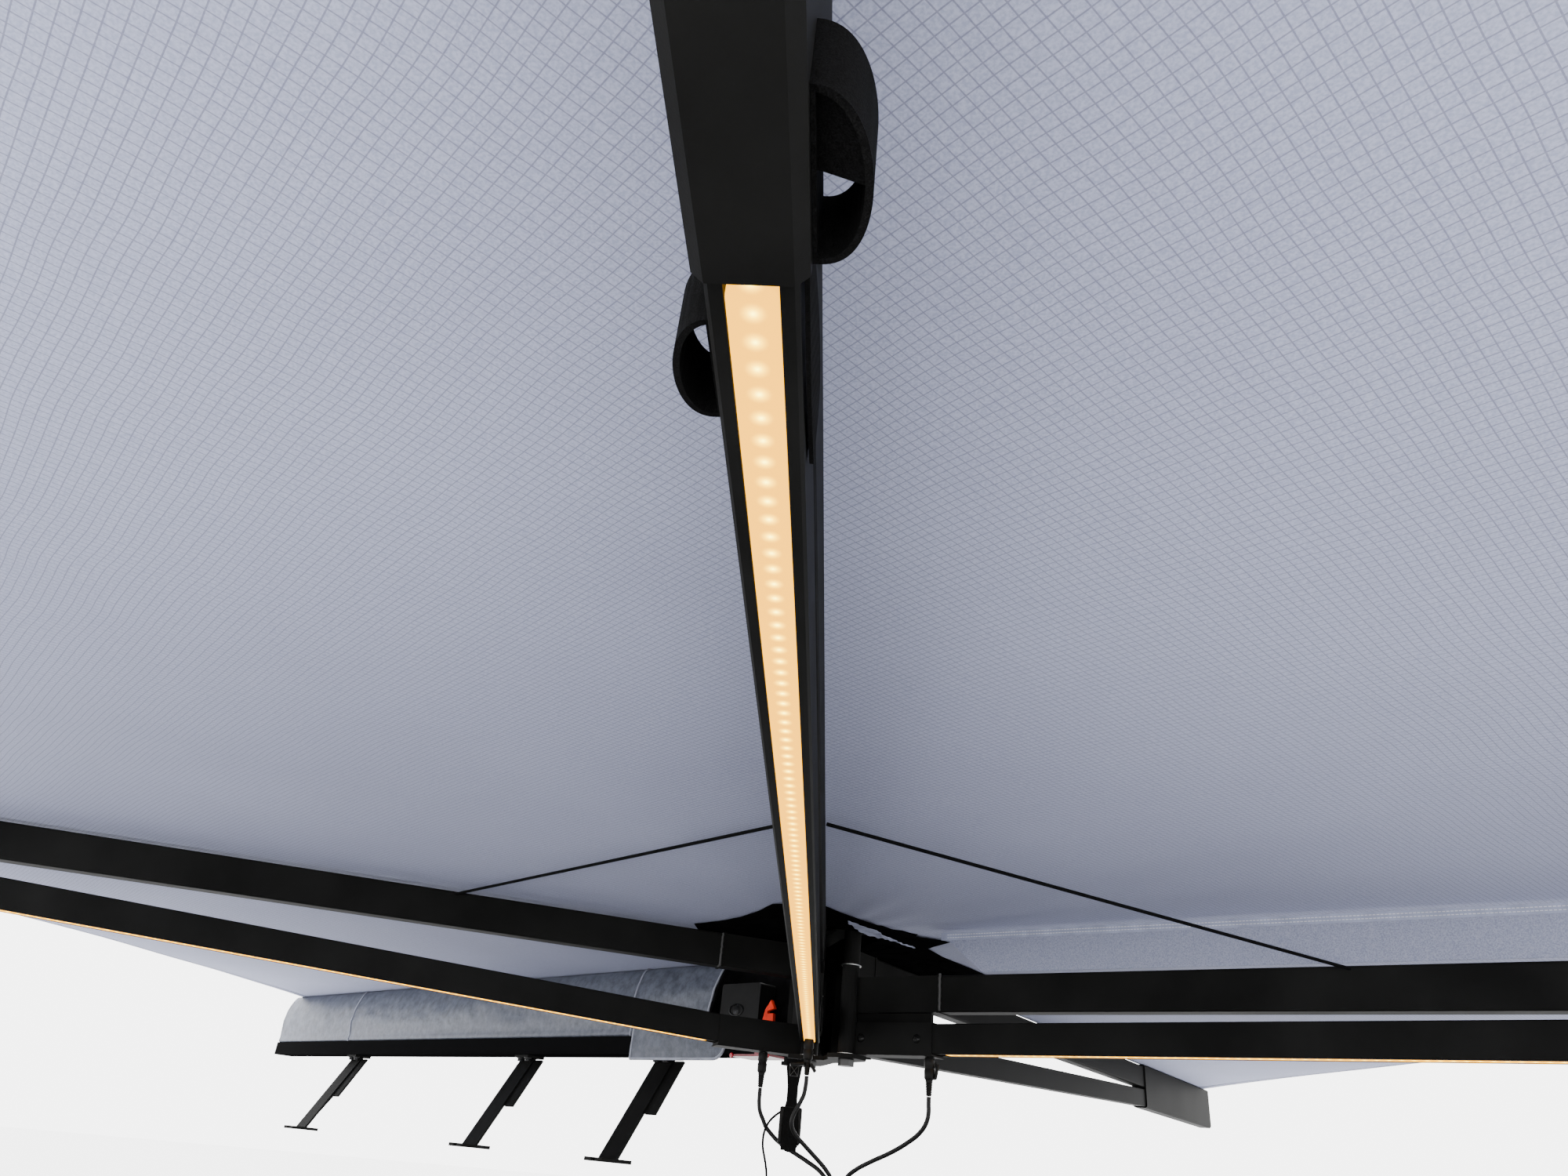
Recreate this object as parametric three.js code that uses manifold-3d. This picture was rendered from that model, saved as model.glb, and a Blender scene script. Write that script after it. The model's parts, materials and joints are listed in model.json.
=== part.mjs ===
// A 270 degree vehicle side awning, deployed: a rail on mounting legs, a two-pin hub at the rail's rear end,
// four arms that swing out from it, a canopy in four panels, light strips in three arms and their leads.
// Millimetres, +Z up, +X to the rear along the rail, -Y out from the vehicle.
// The hub frame has its zero on the inner pivot pin's axis, at the top face of the lower hub plate.
import * as THREE from "three";
import { mergeVertices } from "three/addons/utils/BufferGeometryUtils.js";
import Module from "manifold-3d";

const wasm = await Module();
wasm.setup();

const FIT_GAP = 0.3; // between pieces that touch
const OVERRUN = 2; // of every cut past what it cuts
const WELD = 0.5; // how far joined shapes run into each other
const ROUND_STEPS = 24; // facets round a pin or a barrel
const CORNER_STEPS = 2; // facets in a tube's rounded corner

// Arms
const ARM_REACH = 2130; // from pin to tip
const SLEEVE_LENGTH = 590;
const SLEEVE_ENTRY = 60; // how far both beams run into the sleeve
const SLEEVE_WALL = 3.4;
const SLEEVE_BEVEL = 4.5;
const SLEEVE_END_HOLE_RADIUS = 5;
const SLEEVE_END_INSET = 25;
const BEAM_WIDTH = 30;
const UPPER_HEIGHT = 50;
const LOWER_HEIGHT = 40;
const BEAM_WALL = 2;
const BEAM_CORNER = 3;
const BEAM_MEET_GAP = 2; // between upper and lower beam where the sleeve takes them
const STACK_PITCH = 38; // folded arms lie side by side this far apart
const ROOT_LENGTH = 150; // welded root of an upper beam
const WELD_BEAD_LENGTH = 4;
const WELD_BEAD_PROUD = 1;
const LOWER_ROOT_LENGTH = 140; // bracket that takes the lower beam
const LOWER_SOCKET_DEPTH = 20;
const LOWER_ROOT_WALL = 2;
const ROOT_LIP = 1.3; // bottom flange of the bracket, proud each side
const ROOT_LIP_THICKNESS = 1.6;
const LOWER_REFERENCE = 80; // distance from the pin where a lower beam's root level is given
const HIGH_BEAM_LEVEL = 142; // centre of the upper beam on arms 1, 2 and 4
const MIDDLE_BEAM_LEVEL = 85; // centre of the upper beam on arm 3
const INNER_LOWER_LEVEL = 24; // centre of the lower beam at the hub, on arm 1
const CENTRE_LOWER_LEVEL = 40; // on arm 2
const MIDDLE_LOWER_LEVEL = 24; // on arm 3
const LAST_LOWER_LEVEL = 32; // on arm 4
const DROP_WIDTH = 26; // upright that joins upper and lower root

// Pins and hub
const PIN_RADIUS = 8;
const PIN_RUNNING_GAP = 0.3;
const BARREL_RADIUS = 13;
const PIN_HEAD_RADIUS = 12;
const PIN_HEAD_HEIGHT = 9;
const PIN_HEAD_SIDES = 6;
const WASHER_THICKNESS = 1.4;
const WASHER_RADIUS = 15.5;
const HUB_OPENING = 178; // between the two plates
const PLATE_THICKNESS = 6;
const PLATE_MARGIN = 27; // plate edge round a pin
const STRAP_TAB_SHARE = 0.7; // how much wider the plate is where the strap hangs
const OUTER_PIN_X = 92;
const OUTER_PIN_Y = -18;
const LOWER_BARREL_TOP = 88; // top of arm 2's barrel
const OUTER_BARREL_TOP = 125; // top of arm 3's barrel
const SPINE_FRONT = 58;
const SPINE_THICKNESS = 7.7;
const SPINE_NEAR_X = -34;
const SPINE_LENGTH = 76;

// Rail
const RAIL_LENGTH = 2148;
const RAIL_START_X = -32;
const RAIL_DEPTH = 52;
const RAIL_HEIGHT = 32;
const RAIL_BASE_LEVEL = 12;
const RAIL_WALL = 2.2;
const SLOT_MOUTH = 9;
const SLOT_WIDTH = 18;
const SLOT_DEPTH = 7;
const SLOT_LIP = 2.5;
const CAP_THICKNESS = 4;

// Mounting legs
const LEG_XS = [-450, -905, -1700];
const LEG_WIDTH = 50;
const LEG_THICKNESS = 5;
const LEG_RIB_DEPTH = 20;
const LEG_DROP = 182; // from the rail's underside to the foot's face
const LEG_OUTREACH = 100; // how far the foot stands outboard of the leg's top
const TAB_LENGTH = 42;
const FOOT_LENGTH = 65;
const FOOT_HEEL = 32; // of the foot's length, behind the leg
const FOOT_THICKNESS = 6;
const FOOT_SLOT_WIDTH = 11;
const FOOT_SLOT_LENGTH = 26;

// Cover bag
const BAG_START_X = -291;
const BAG_TOP_WIDTH = 34;
const BAG_BULGE = 24;
const FLAP_THICKNESS = 4;
const FLAP_START_X = -262;
const FLAP_LENGTH = 260;
const FLAP_HEIGHT = 56;
const FLAP_LEVEL = 4;

// Canopy
const CANOPY_THICKNESS = 2.4;
const PANEL_SEAM = 1; // gap between neighbouring panels at an arm
const PANEL_EDGE_SAG_SHARE = 0.1; // of a panel's chord, pulled in between two tips
const PANEL_EDGE_STEPS = 10;
const TIP_INSET = 12;
const SKIRT_THICKNESS = 3;
const COVER_RADIUS = 235;
const COVER_LAP = 20; // of the hub cover over the panels
const COVER_FLAT_RADIUS = 150;
const COVER_RISE = 22;
const COVER_STEPS = 32;

// Light strips
const STRIP_WIDTH = 17;
const STRIP_DEPTH = 6;
const STRIP_FLOOR = 1.6;
const STRIP_START = 156;
const CENTRE_STRIP_START = 26;
const STRIP_END_GAP = 3;
const CENTRE_BEAM_START = 18;

// Latch and control box
const BOX_WIDTH = 98;
const BOX_DEPTH = 38;
const BOX_HEIGHT = 84;
const BOX_CORNER = 4;
const BOX_FRONT = 67;
const BOX_CENTRE_X = -239;
const BUTTON_RADIUS = 5;
const BUTTON_PROUD = 3.2;
const BUTTON_TRAVEL = 2.5;
const BUTTON_POCKET = 12;
const BUTTON_FROM_CORNER = 13;
const LATCH_X = -167;
const LATCH_WIDTH = 30;
const LATCH_HEIGHT = 44;
const LATCH_THICKNESS = 6;
const LATCH_PIVOT_LEVEL = 52;
const LATCH_PIVOT_Y = 70;
const LATCH_PIN_RADIUS = 2.5;
const LATCH_HUB_RADIUS = 4.6;
const LUG_THICKNESS = 3;
const BASE_THICKNESS = 3.4;
const BASE_LENGTH = 96;
const BASE_DEPTH = 50;

// Hanging strap
const STRAP_X = -5;
const STRAP_Y = -25;
const STRAP_TURN = 45; // degrees about Z
const STRAP_TOP_WIDTH = 27;
const STRAP_WIDTH = 16;
const STRAP_THICKNESS = 2.4;
const STRAP_TAPER = 38;
const STRAP_LENGTH = 66;
const BUCKLE_WIDTH = 30;
const BUCKLE_HEIGHT = 50;
const BUCKLE_DEPTH = 9;
const BUCKLE_WALL = 4;
const CAM_THICKNESS = 4;
const CAM_LENGTH = 34;
const CAM_PIN_RADIUS = 2.2;
const LOOP_THICKNESS = 2;
const LOOP_WIDTH = 25;
const LOOP_LENGTH = 74;
const LOOP_BULGE = 17;
const SMALL_LOOP_BULGE = 7; // folded arms leave this little room
const LOOP_STEPS = 12;

// Leads
const LEAD_DIAMETER = 5;
const LEAD_SIDES = 8;
const LEAD_STEPS = 30;
const FIRST_PLUG_AT = 62; // along arm 1
const CENTRE_PLUG_AT = 60; // along arm 2
const THIRD_PLUG_AT = 128; // along arm 3
const PLUG_LENGTH = 50;
const PLUG_RADIUS = 6.5;
const COIL_SIDES = 6;
const COIL_STEPS = 24; // per turn
const COIL_OUTER_RADIUS = 35;
const COIL_LAYER_TURNS = 2.5;
const COIL_CLIMB_TURNS = 0.5;
const COIL_LAYERS = 4;
const COIL_PITCH = 6.2;
const LEAD_DROP = 16; // straight run out of the splitter
const LEAD_BEND = 15;
const SPLITTER_LENGTH = 34;
const SPLITTER_DEPTH = 14;
const SPLITTER_HEIGHT = 22;
const POWER_PLUG_LENGTH = 46;
const POWER_PLUG_WIDTH = 24;
const POWER_PLUG_DEPTH = 15;
const SHOCK_CORD_DIAMETER = 4;
const CENTRE_CORD_AT = 680; // along arm 2, where both cords start
const FIRST_CORD_AT = 570; // along arm 1
const THIRD_CORD_AT = 690; // along arm 3
const CORD_SEAT_SHARE = 0.3; // of its diameter, as it meets a beam aslant

// Worked out from the above
const SLEEVE_START = ARM_REACH - SLEEVE_LENGTH;
const BORE_RADIUS = PIN_RADIUS + PIN_RUNNING_GAP;
const WASHER_STACK = WASHER_THICKNESS + 2 * FIT_GAP;
const BARREL_TOP = HUB_OPENING - FIT_GAP;
const BEAM_TOP = HIGH_BEAM_LEVEL + UPPER_HEIGHT / 2;
const SLEEVE_WIDTH = BEAM_WIDTH + 2 * SLEEVE_WALL;
const PANEL_INNER = COVER_RADIUS - COVER_LAP;
const CANOPY_LEVEL = BEAM_TOP + SLEEVE_WALL + FIT_GAP;
const RAIL_FRONT = SPINE_FRONT + SPINE_THICKNESS + FIT_GAP;
const RAIL_TOP = RAIL_BASE_LEVEL + RAIL_HEIGHT;
const FOOT_FACE = RAIL_BASE_LEVEL - LEG_DROP;
const LEG_TOP_Y = RAIL_FRONT + RAIL_DEPTH / 2;
const FOOT_CENTRE_Y = LEG_TOP_Y - LEG_OUTREACH;

const BLACK = { color: 0x1d1d1c, roughness: 0.45, metalness: 0.3 };
const ROUGH_BLACK = { color: 0x141414, roughness: 0.9, metalness: 0 };
const RAIL_BLACK = { color: 0x181818, roughness: 0.5, metalness: 0.3 };
const STEEL = { color: 0xc9c9c6, roughness: 0.3, metalness: 0.9 };
const CLOTH = { color: 0x9699a9, roughness: 0.85, metalness: 0 };
const BAG_GREY = { color: 0x777b87, roughness: 0.6, metalness: 0 };
const LIGHT = { color: 0xf8dc95, roughness: 0.5, metalness: 0 };
const ORANGE = { color: 0xe5401c, roughness: 0.4, metalness: 0 };
const DARK_RED = { color: 0x7c1420, roughness: 0.4, metalness: 0 };

const part = new THREE.Group();
const rootGroup = new THREE.Group();
part.add(rootGroup);

function addMesh(group, name, geometry, look) {
  const mesh = new THREE.Mesh(geometry, new THREE.MeshStandardMaterial(look));
  mesh.name = name;
  group.add(mesh);
  return mesh;
}

function toSolid(geometry) {
  const bare = geometry.index ? geometry.toNonIndexed() : geometry.clone();
  const clean = new THREE.BufferGeometry().setAttribute("position", bare.getAttribute("position"));
  const merged = mergeVertices(clean, 1e-4);
  return new wasm.Manifold(
    new wasm.Mesh({
      numProp: 3,
      vertProperties: merged.attributes.position.array,
      triVerts: new Uint32Array(merged.index.array),
    }),
  );
}

function toGeometry(solid) {
  const mesh = solid.getMesh();
  const geometry = new THREE.BufferGeometry();
  geometry.setAttribute("position", new THREE.BufferAttribute(mesh.vertProperties, 3));
  geometry.setIndex(new THREE.BufferAttribute(mesh.triVerts, 1));
  return geometry;
}

function join(geometries) {
  return toGeometry(geometries.map(toSolid).reduce((all, one) => all.add(one)));
}

function cut(geometry, cutters) {
  return toGeometry(cutters.map(toSolid).reduce((left, one) => left.subtract(one), toSolid(geometry)));
}

// A box between two corners.
function block(x0, x1, y0, y1, z0, z1) {
  const geometry = new THREE.BoxGeometry(x1 - x0, y1 - y0, z1 - z0);
  return geometry.translate((x0 + x1) / 2, (y0 + y1) / 2, (z0 + z1) / 2);
}

function cylinder(radius, x, y, z0, z1, sides = ROUND_STEPS) {
  const geometry = new THREE.CylinderGeometry(radius, radius, z1 - z0, sides);
  return geometry.rotateX(Math.PI / 2).translate(x, y, (z0 + z1) / 2);
}

function ring(inner, outer, z0, z1) {
  const profile = [
    [inner, z0],
    [outer, z0],
    [outer, z1],
    [inner, z1],
    [inner, z0],
  ].map(([r, z]) => new THREE.Vector2(r, z));
  return new THREE.LatheGeometry(profile, ROUND_STEPS).rotateX(Math.PI / 2);
}

function roundedOutline(width, height, corner) {
  const x = width / 2;
  const y = height / 2;
  const shape = new THREE.Shape();
  shape.moveTo(-x + corner, -y);
  shape.lineTo(x - corner, -y);
  shape.absarc(x - corner, -y + corner, corner, -Math.PI / 2, 0);
  shape.lineTo(x, y - corner);
  shape.absarc(x - corner, y - corner, corner, 0, Math.PI / 2);
  shape.lineTo(-x + corner, y);
  shape.absarc(-x + corner, y - corner, corner, Math.PI / 2, Math.PI);
  shape.lineTo(-x, -y + corner);
  shape.absarc(-x + corner, -y + corner, corner, Math.PI, Math.PI * 1.5);
  return shape;
}

function polygon(points) {
  return new THREE.Shape(points.map(([x, y]) => new THREE.Vector2(x, y)));
}

function extrude(shape, depth, curveSegments = CORNER_STEPS) {
  return new THREE.ExtrudeGeometry(shape, { depth, curveSegments, bevelEnabled: false });
}

// Stands an extrusion on its end: the outline's x goes to Y, its y to Z, and the depth runs along X.
function alongX(geometry) {
  const axes = new THREE.Matrix4().makeBasis(
    new THREE.Vector3(0, 1, 0),
    new THREE.Vector3(0, 0, 1),
    new THREE.Vector3(1, 0, 0),
  );
  return geometry.applyMatrix4(axes);
}

// The outline's x stays X, its y goes to Z, and the depth runs along -Y.
function alongMinusY(geometry) {
  return geometry.rotateX(Math.PI / 2);
}

const INNER_PIN = { x: 0, y: 0 };
const OUTER_PIN = { x: OUTER_PIN_X, y: OUTER_PIN_Y };

// Each arm: its pin, its bearing at rest, how far its beams stand to the left of the pin, its levels and its barrel.
const ARMS = [
  {
    number: 1,
    pin: INNER_PIN,
    bearing: 242,
    offset: -STACK_PITCH,
    upper: HIGH_BEAM_LEVEL,
    lower: INNER_LOWER_LEVEL,
    barrel: [LOWER_BARREL_TOP + WASHER_STACK, BARREL_TOP],
    lit: true,
    plugAt: FIRST_PLUG_AT,
  },
  {
    number: 2,
    pin: INNER_PIN,
    bearing: 312,
    offset: 0,
    upper: HIGH_BEAM_LEVEL,
    lower: CENTRE_LOWER_LEVEL,
    barrel: [WASHER_STACK, LOWER_BARREL_TOP],
    lit: true,
    plugAt: CENTRE_PLUG_AT,
  },
  {
    number: 3,
    pin: OUTER_PIN,
    bearing: 368,
    offset: STACK_PITCH + OUTER_PIN_Y,
    upper: MIDDLE_BEAM_LEVEL,
    lower: MIDDLE_LOWER_LEVEL,
    barrel: [WASHER_STACK, OUTER_BARREL_TOP],
    lit: true,
    plugAt: THIRD_PLUG_AT,
  },
  {
    number: 4,
    pin: OUTER_PIN,
    bearing: 460,
    offset: 2 * STACK_PITCH + OUTER_PIN_Y,
    upper: HIGH_BEAM_LEVEL,
    lower: LAST_LOWER_LEVEL,
    barrel: [OUTER_BARREL_TOP + WASHER_STACK, BARREL_TOP],
    lit: false,
  },
];

const radians = (degrees) => (degrees * Math.PI) / 180;

// A point of the hub frame, from a distance along an arm and a distance to its left.
function armPoint(arm, along, left) {
  const a = radians(arm.bearing);
  return {
    x: arm.pin.x + along * Math.cos(a) - left * Math.sin(a),
    y: arm.pin.y + along * Math.sin(a) + left * Math.cos(a),
  };
}

const lowerEndLevel = (arm) => arm.upper - UPPER_HEIGHT / 2 - BEAM_MEET_GAP - LOWER_HEIGHT / 2;
const lowerRun = SLEEVE_START + SLEEVE_ENTRY - LOWER_REFERENCE;
const lowerSlope = (arm) => (lowerEndLevel(arm) - arm.lower) / lowerRun;
const lowerLevel = (arm, along) => arm.lower + lowerSlope(arm) * (along - LOWER_REFERENCE);

// Leans a lower beam up along the arm: a shear keeps its ends upright, as the sockets are.
function leanWith(arm, geometry) {
  const shear = new THREE.Matrix4().set(
    1, 0, 0, 0,
    0, 1, 0, 0,
    lowerSlope(arm), 0, 1, lowerLevel(arm, 0),
    0, 0, 0, 1,
  );
  return geometry.applyMatrix4(shear);
}

function upperBeam(arm) {
  const shape = roundedOutline(BEAM_WIDTH, UPPER_HEIGHT, BEAM_CORNER);
  const bore = roundedOutline(
    BEAM_WIDTH - 2 * BEAM_WALL,
    UPPER_HEIGHT - 2 * BEAM_WALL,
    BEAM_CORNER - BEAM_WALL,
  );
  shape.holes.push(bore);
  const start = ROOT_LENGTH + FIT_GAP;
  const tube = alongX(extrude(shape, SLEEVE_START + SLEEVE_ENTRY - start, 1));
  return tube.translate(start, arm.offset, arm.upper);
}

// A lit beam has a groove for the light strip in its underside.
function lowerBeam(arm) {
  const w = BEAM_WIDTH / 2;
  const h = LOWER_HEIGHT / 2;
  const c = BEAM_CORNER / 2;
  const g = STRIP_WIDTH / 2 + FIT_GAP;
  const floor = -h + STRIP_DEPTH + STRIP_FLOOR - WELD;
  const outline = arm.lit
    ? [
        [-w, -h + c],
        [-w + c, -h],
        [-g, -h],
        [-g, floor],
        [g, floor],
        [g, -h],
        [w - c, -h],
        [w, -h + c],
        [w, h - c],
        [w - c, h],
        [-w + c, h],
        [-w, h - c],
      ]
    : [
        [-w, -h + c],
        [-w + c, -h],
        [w - c, -h],
        [w, -h + c],
        [w, h - c],
        [w - c, h],
        [-w + c, h],
        [-w, h - c],
      ];
  const shape = polygon(outline);
  const boreFloor = arm.lit ? floor + BEAM_WALL : -h + BEAM_WALL;
  shape.holes.push(
    polygon([
      [-w + BEAM_WALL, boreFloor],
      [-w + BEAM_WALL, h - BEAM_WALL],
      [w - BEAM_WALL, h - BEAM_WALL],
      [w - BEAM_WALL, boreFloor],
    ]),
  );
  const start = arm.number === 2 ? CENTRE_BEAM_START : LOWER_ROOT_LENGTH - LOWER_SOCKET_DEPTH + FIT_GAP;
  const tube = alongX(extrude(shape, SLEEVE_START + SLEEVE_ENTRY - start, 1)).translate(start, arm.offset, 0);
  return leanWith(arm, tube);
}

// The diffuser: a bar with rounded ends that fills the groove, its face flush with the beam's underside.
function lightStrip(arm) {
  const start = arm.number === 2 ? CENTRE_STRIP_START : STRIP_START;
  const length = SLEEVE_START - STRIP_END_GAP - start;
  const shape = roundedOutline(length, STRIP_WIDTH, STRIP_WIDTH / 3);
  const bar = extrude(shape, STRIP_DEPTH - FIT_GAP, 3);
  bar.translate(start + length / 2, arm.offset, -LOWER_HEIGHT / 2 + FIT_GAP);
  return leanWith(arm, bar);
}

// The casing over both beams' ends and on to the tip, with bevelled lower edges.
function sleeve(arm) {
  const w = SLEEVE_WIDTH / 2;
  const top = arm.upper + UPPER_HEIGHT / 2 + SLEEVE_WALL;
  const bottom = lowerLevel(arm, SLEEVE_START) - LOWER_HEIGHT / 2 - SLEEVE_WALL;
  const shell = alongX(
    extrude(
      polygon([
        [-w, bottom + SLEEVE_BEVEL],
        [-w + SLEEVE_BEVEL, bottom],
        [w - SLEEVE_BEVEL, bottom],
        [w, bottom + SLEEVE_BEVEL],
        [w, top - BEAM_CORNER],
        [w - BEAM_CORNER, top],
        [-w + BEAM_CORNER, top],
        [-w, top - BEAM_CORNER],
      ]),
      ARM_REACH - SLEEVE_START,
    ),
  ).translate(SLEEVE_START, arm.offset, 0);
  const mouth = SLEEVE_START - OVERRUN;
  const inside = SLEEVE_START + SLEEVE_ENTRY + FIT_GAP;
  const half = BEAM_WIDTH / 2 + FIT_GAP;
  const y0 = arm.offset - half;
  const y1 = arm.offset + half;
  const upperRoom = block(
    mouth,
    inside,
    y0,
    y1,
    arm.upper - UPPER_HEIGHT / 2 - FIT_GAP,
    arm.upper + UPPER_HEIGHT / 2 + FIT_GAP,
  );
  const lowerRoom = leanWith(
    arm,
    block(mouth, inside, y0, y1, -LOWER_HEIGHT / 2 - FIT_GAP, LOWER_HEIGHT / 2 + FIT_GAP),
  );
  const cavity = block(
    inside - WELD,
    ARM_REACH - 2 * SLEEVE_WALL,
    y0 + SLEEVE_BEVEL / 2,
    y1 - SLEEVE_BEVEL / 2,
    bottom + SLEEVE_BEVEL,
    top - BEAM_CORNER,
  );
  const poleHole = cylinder(
    SLEEVE_END_HOLE_RADIUS,
    ARM_REACH - SLEEVE_END_INSET,
    arm.offset,
    bottom - OVERRUN,
    bottom + SLEEVE_BEVEL + OVERRUN,
    12,
  );
  return cut(shell, [upperRoom, lowerRoom, cavity, poleHole]);
}

// The bracket round the lower beam's first stretch, with a lip along its bottom.
function lowerRoot(arm, start) {
  const half = BEAM_WIDTH / 2 + LOWER_ROOT_WALL;
  const height = LOWER_HEIGHT / 2 + LOWER_ROOT_WALL + FIT_GAP;
  const body = block(start, LOWER_ROOT_LENGTH, arm.offset - half, arm.offset + half, arm.lower - height, arm.lower + height);
  const lip = block(
    start + DROP_WIDTH,
    LOWER_ROOT_LENGTH + ROOT_LIP,
    arm.offset - half - ROOT_LIP,
    arm.offset + half + ROOT_LIP,
    arm.lower - height,
    arm.lower - height + ROOT_LIP_THICKNESS,
  );
  return [body, lip];
}

function lowerSocket(arm) {
  const half = BEAM_WIDTH / 2 + FIT_GAP;
  return leanWith(
    arm,
    block(
      LOWER_ROOT_LENGTH - LOWER_SOCKET_DEPTH,
      LOWER_ROOT_LENGTH + ROOT_LIP + OVERRUN,
      arm.offset - half,
      arm.offset + half,
      -LOWER_HEIGHT / 2 - FIT_GAP,
      LOWER_HEIGHT / 2 + FIT_GAP,
    ),
  );
}

function upperRoot(arm, start) {
  const half = BEAM_WIDTH / 2;
  const bottom = arm.upper - UPPER_HEIGHT / 2;
  const top = arm.upper + UPPER_HEIGHT / 2;
  const body = block(start, ROOT_LENGTH, arm.offset - half, arm.offset + half, bottom, top);
  const bead = block(
    ROOT_LENGTH - WELD_BEAD_LENGTH,
    ROOT_LENGTH,
    arm.offset - half - WELD_BEAD_PROUD,
    arm.offset + half + WELD_BEAD_PROUD,
    bottom - WELD_BEAD_PROUD,
    top + WELD_BEAD_PROUD,
  );
  return [body, bead];
}

// What ties the barrel to the two roots is different on each arm, so that the folded arms pass each other.
const GOOSENECKS = {
  // Arm 1 steps sideways past arm 2's barrel, then down to its lower root.
  1: (arm) => {
    const half = BEAM_WIDTH / 2;
    const outer = arm.offset - half;
    const step = BARREL_RADIUS - WASHER_THICKNESS;
    const underside = arm.upper - UPPER_HEIGHT / 2;
    return [
      block(-step, step, outer, 0, underside, arm.upper + UPPER_HEIGHT / 2),
      ...upperRoot(arm, -step),
      block(-step, DROP_WIDTH - step, outer, arm.offset + half, arm.lower, underside + WELD),
      ...lowerRoot(arm, -step),
    ];
  },
  // Arm 2 stands up in front of arm 1's barrel, and its cheeks hold the lower beam by its sides.
  2: (arm) => {
    const half = BEAM_WIDTH / 2;
    const cheek = half + FIT_GAP;
    const saddle = arm.lower + LOWER_HEIGHT / 2 + 2 * BEAM_MEET_GAP;
    const rear = BARREL_RADIUS + WASHER_THICKNESS * 4;
    const cheekTo = rear + DROP_WIDTH * 2;
    const low = arm.lower - LOWER_HEIGHT / 4;
    return [
      block(0, rear + DROP_WIDTH, -half, half, saddle, LOWER_BARREL_TOP - FIT_GAP),
      block(rear, rear + DROP_WIDTH, -half, half, saddle, arm.upper),
      ...upperRoot(arm, rear),
      block(BARREL_RADIUS / 2, cheekTo, cheek, cheek + LOWER_ROOT_WALL, low, saddle + WELD * 4),
      block(BARREL_RADIUS / 2, cheekTo, -cheek - LOWER_ROOT_WALL, -cheek, low, saddle + WELD * 4),
      block(0, cheekTo, -cheek - LOWER_ROOT_WALL, cheek + LOWER_ROOT_WALL, saddle, saddle + WELD * 4),
    ];
  },
  // Arm 3 carries both roots straight off its tall barrel.
  3: (arm) => [...upperRoot(arm, 0), ...lowerRoot(arm, 0)],
  // Arm 4 reaches out over arm 3 at an angle, then drops to its lower root.
  4: (arm) => {
    const half = BEAM_WIDTH / 2;
    const reach = ROOT_LENGTH / 2;
    const along = reach + DROP_WIDTH / 2;
    const length = Math.hypot(along, arm.offset);
    const neckHalf = BARREL_RADIUS - WASHER_THICKNESS;
    const underside = arm.barrel[0];
    const neck = block(0, length, -neckHalf, neckHalf, underside, arm.upper + UPPER_HEIGHT / 2);
    neck.rotateZ(Math.atan2(arm.offset, along));
    return [
      neck,
      ...upperRoot(arm, reach),
      block(reach, reach + DROP_WIDTH, arm.offset - half, arm.offset + half, arm.lower, arm.upper),
      ...lowerRoot(arm, reach),
    ];
  },
};

function knuckle(arm) {
  const barrel = cylinder(BARREL_RADIUS, 0, 0, arm.barrel[0], arm.barrel[1]);
  const body = join([barrel, ...GOOSENECKS[arm.number](arm)]);
  const cutters = [cylinder(BORE_RADIUS, 0, 0, -OVERRUN, HUB_OPENING + OVERRUN)];
  if (arm.number !== 2) cutters.push(lowerSocket(arm));
  return cut(body, cutters);
}

const BLADE_SHARES = [0.5, 1, 1, 0.72, 0.66, 0.4]; // of the plug's radius, down its length

// A round moulded plug that hangs under the beam, narrowing to its strain relief.
function plug(x, y, top) {
  const bottom = top - PLUG_LENGTH;
  const outline = BLADE_SHARES.map((share, i) => {
    const level = top - (PLUG_LENGTH * i) / (BLADE_SHARES.length - 1);
    return new THREE.Vector2(PLUG_RADIUS * share, level);
  });
  const profile = [new THREE.Vector2(0, bottom), ...outline.reverse(), new THREE.Vector2(0, top)];
  return new THREE.LatheGeometry(profile, 12).rotateX(Math.PI / 2).translate(x, y, 0);
}

const armGroups = {};
for (const arm of ARMS) {
  const group = new THREE.Group();
  group.position.set(arm.pin.x, arm.pin.y, 0);
  group.rotation.z = radians(arm.bearing);
  part.add(group);
  armGroups[arm.number] = group;
  const name = `arm_${arm.number}`;
  addMesh(group, `${name}_knuckle`, knuckle(arm), BLACK);
  addMesh(group, `${name}_upper_beam`, upperBeam(arm), BLACK);
  addMesh(group, `${name}_lower_beam`, lowerBeam(arm), BLACK);
  addMesh(group, `${name}_end_sleeve`, sleeve(arm), BLACK);
  if (arm.lit) addMesh(group, `${name}_light_strip`, lightStrip(arm), LIGHT);
}

// The underside that a plug hangs from: the bracket's on arms 1 and 3, the strip's face on arm 2.
function plugTop(arm) {
  if (arm.number === 2) return lowerLevel(arm, arm.plugAt) - LOWER_HEIGHT / 2 - 2 * FIT_GAP;
  return arm.lower - LOWER_HEIGHT / 2 - LOWER_ROOT_WALL - 2 * FIT_GAP;
}

for (const arm of ARMS.filter((a) => a.lit)) {
  const geometry = plug(arm.plugAt, arm.offset, plugTop(arm));
  addMesh(armGroups[arm.number], `light_plug_${arm.number}`, geometry, ROUGH_BLACK);
}

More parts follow.
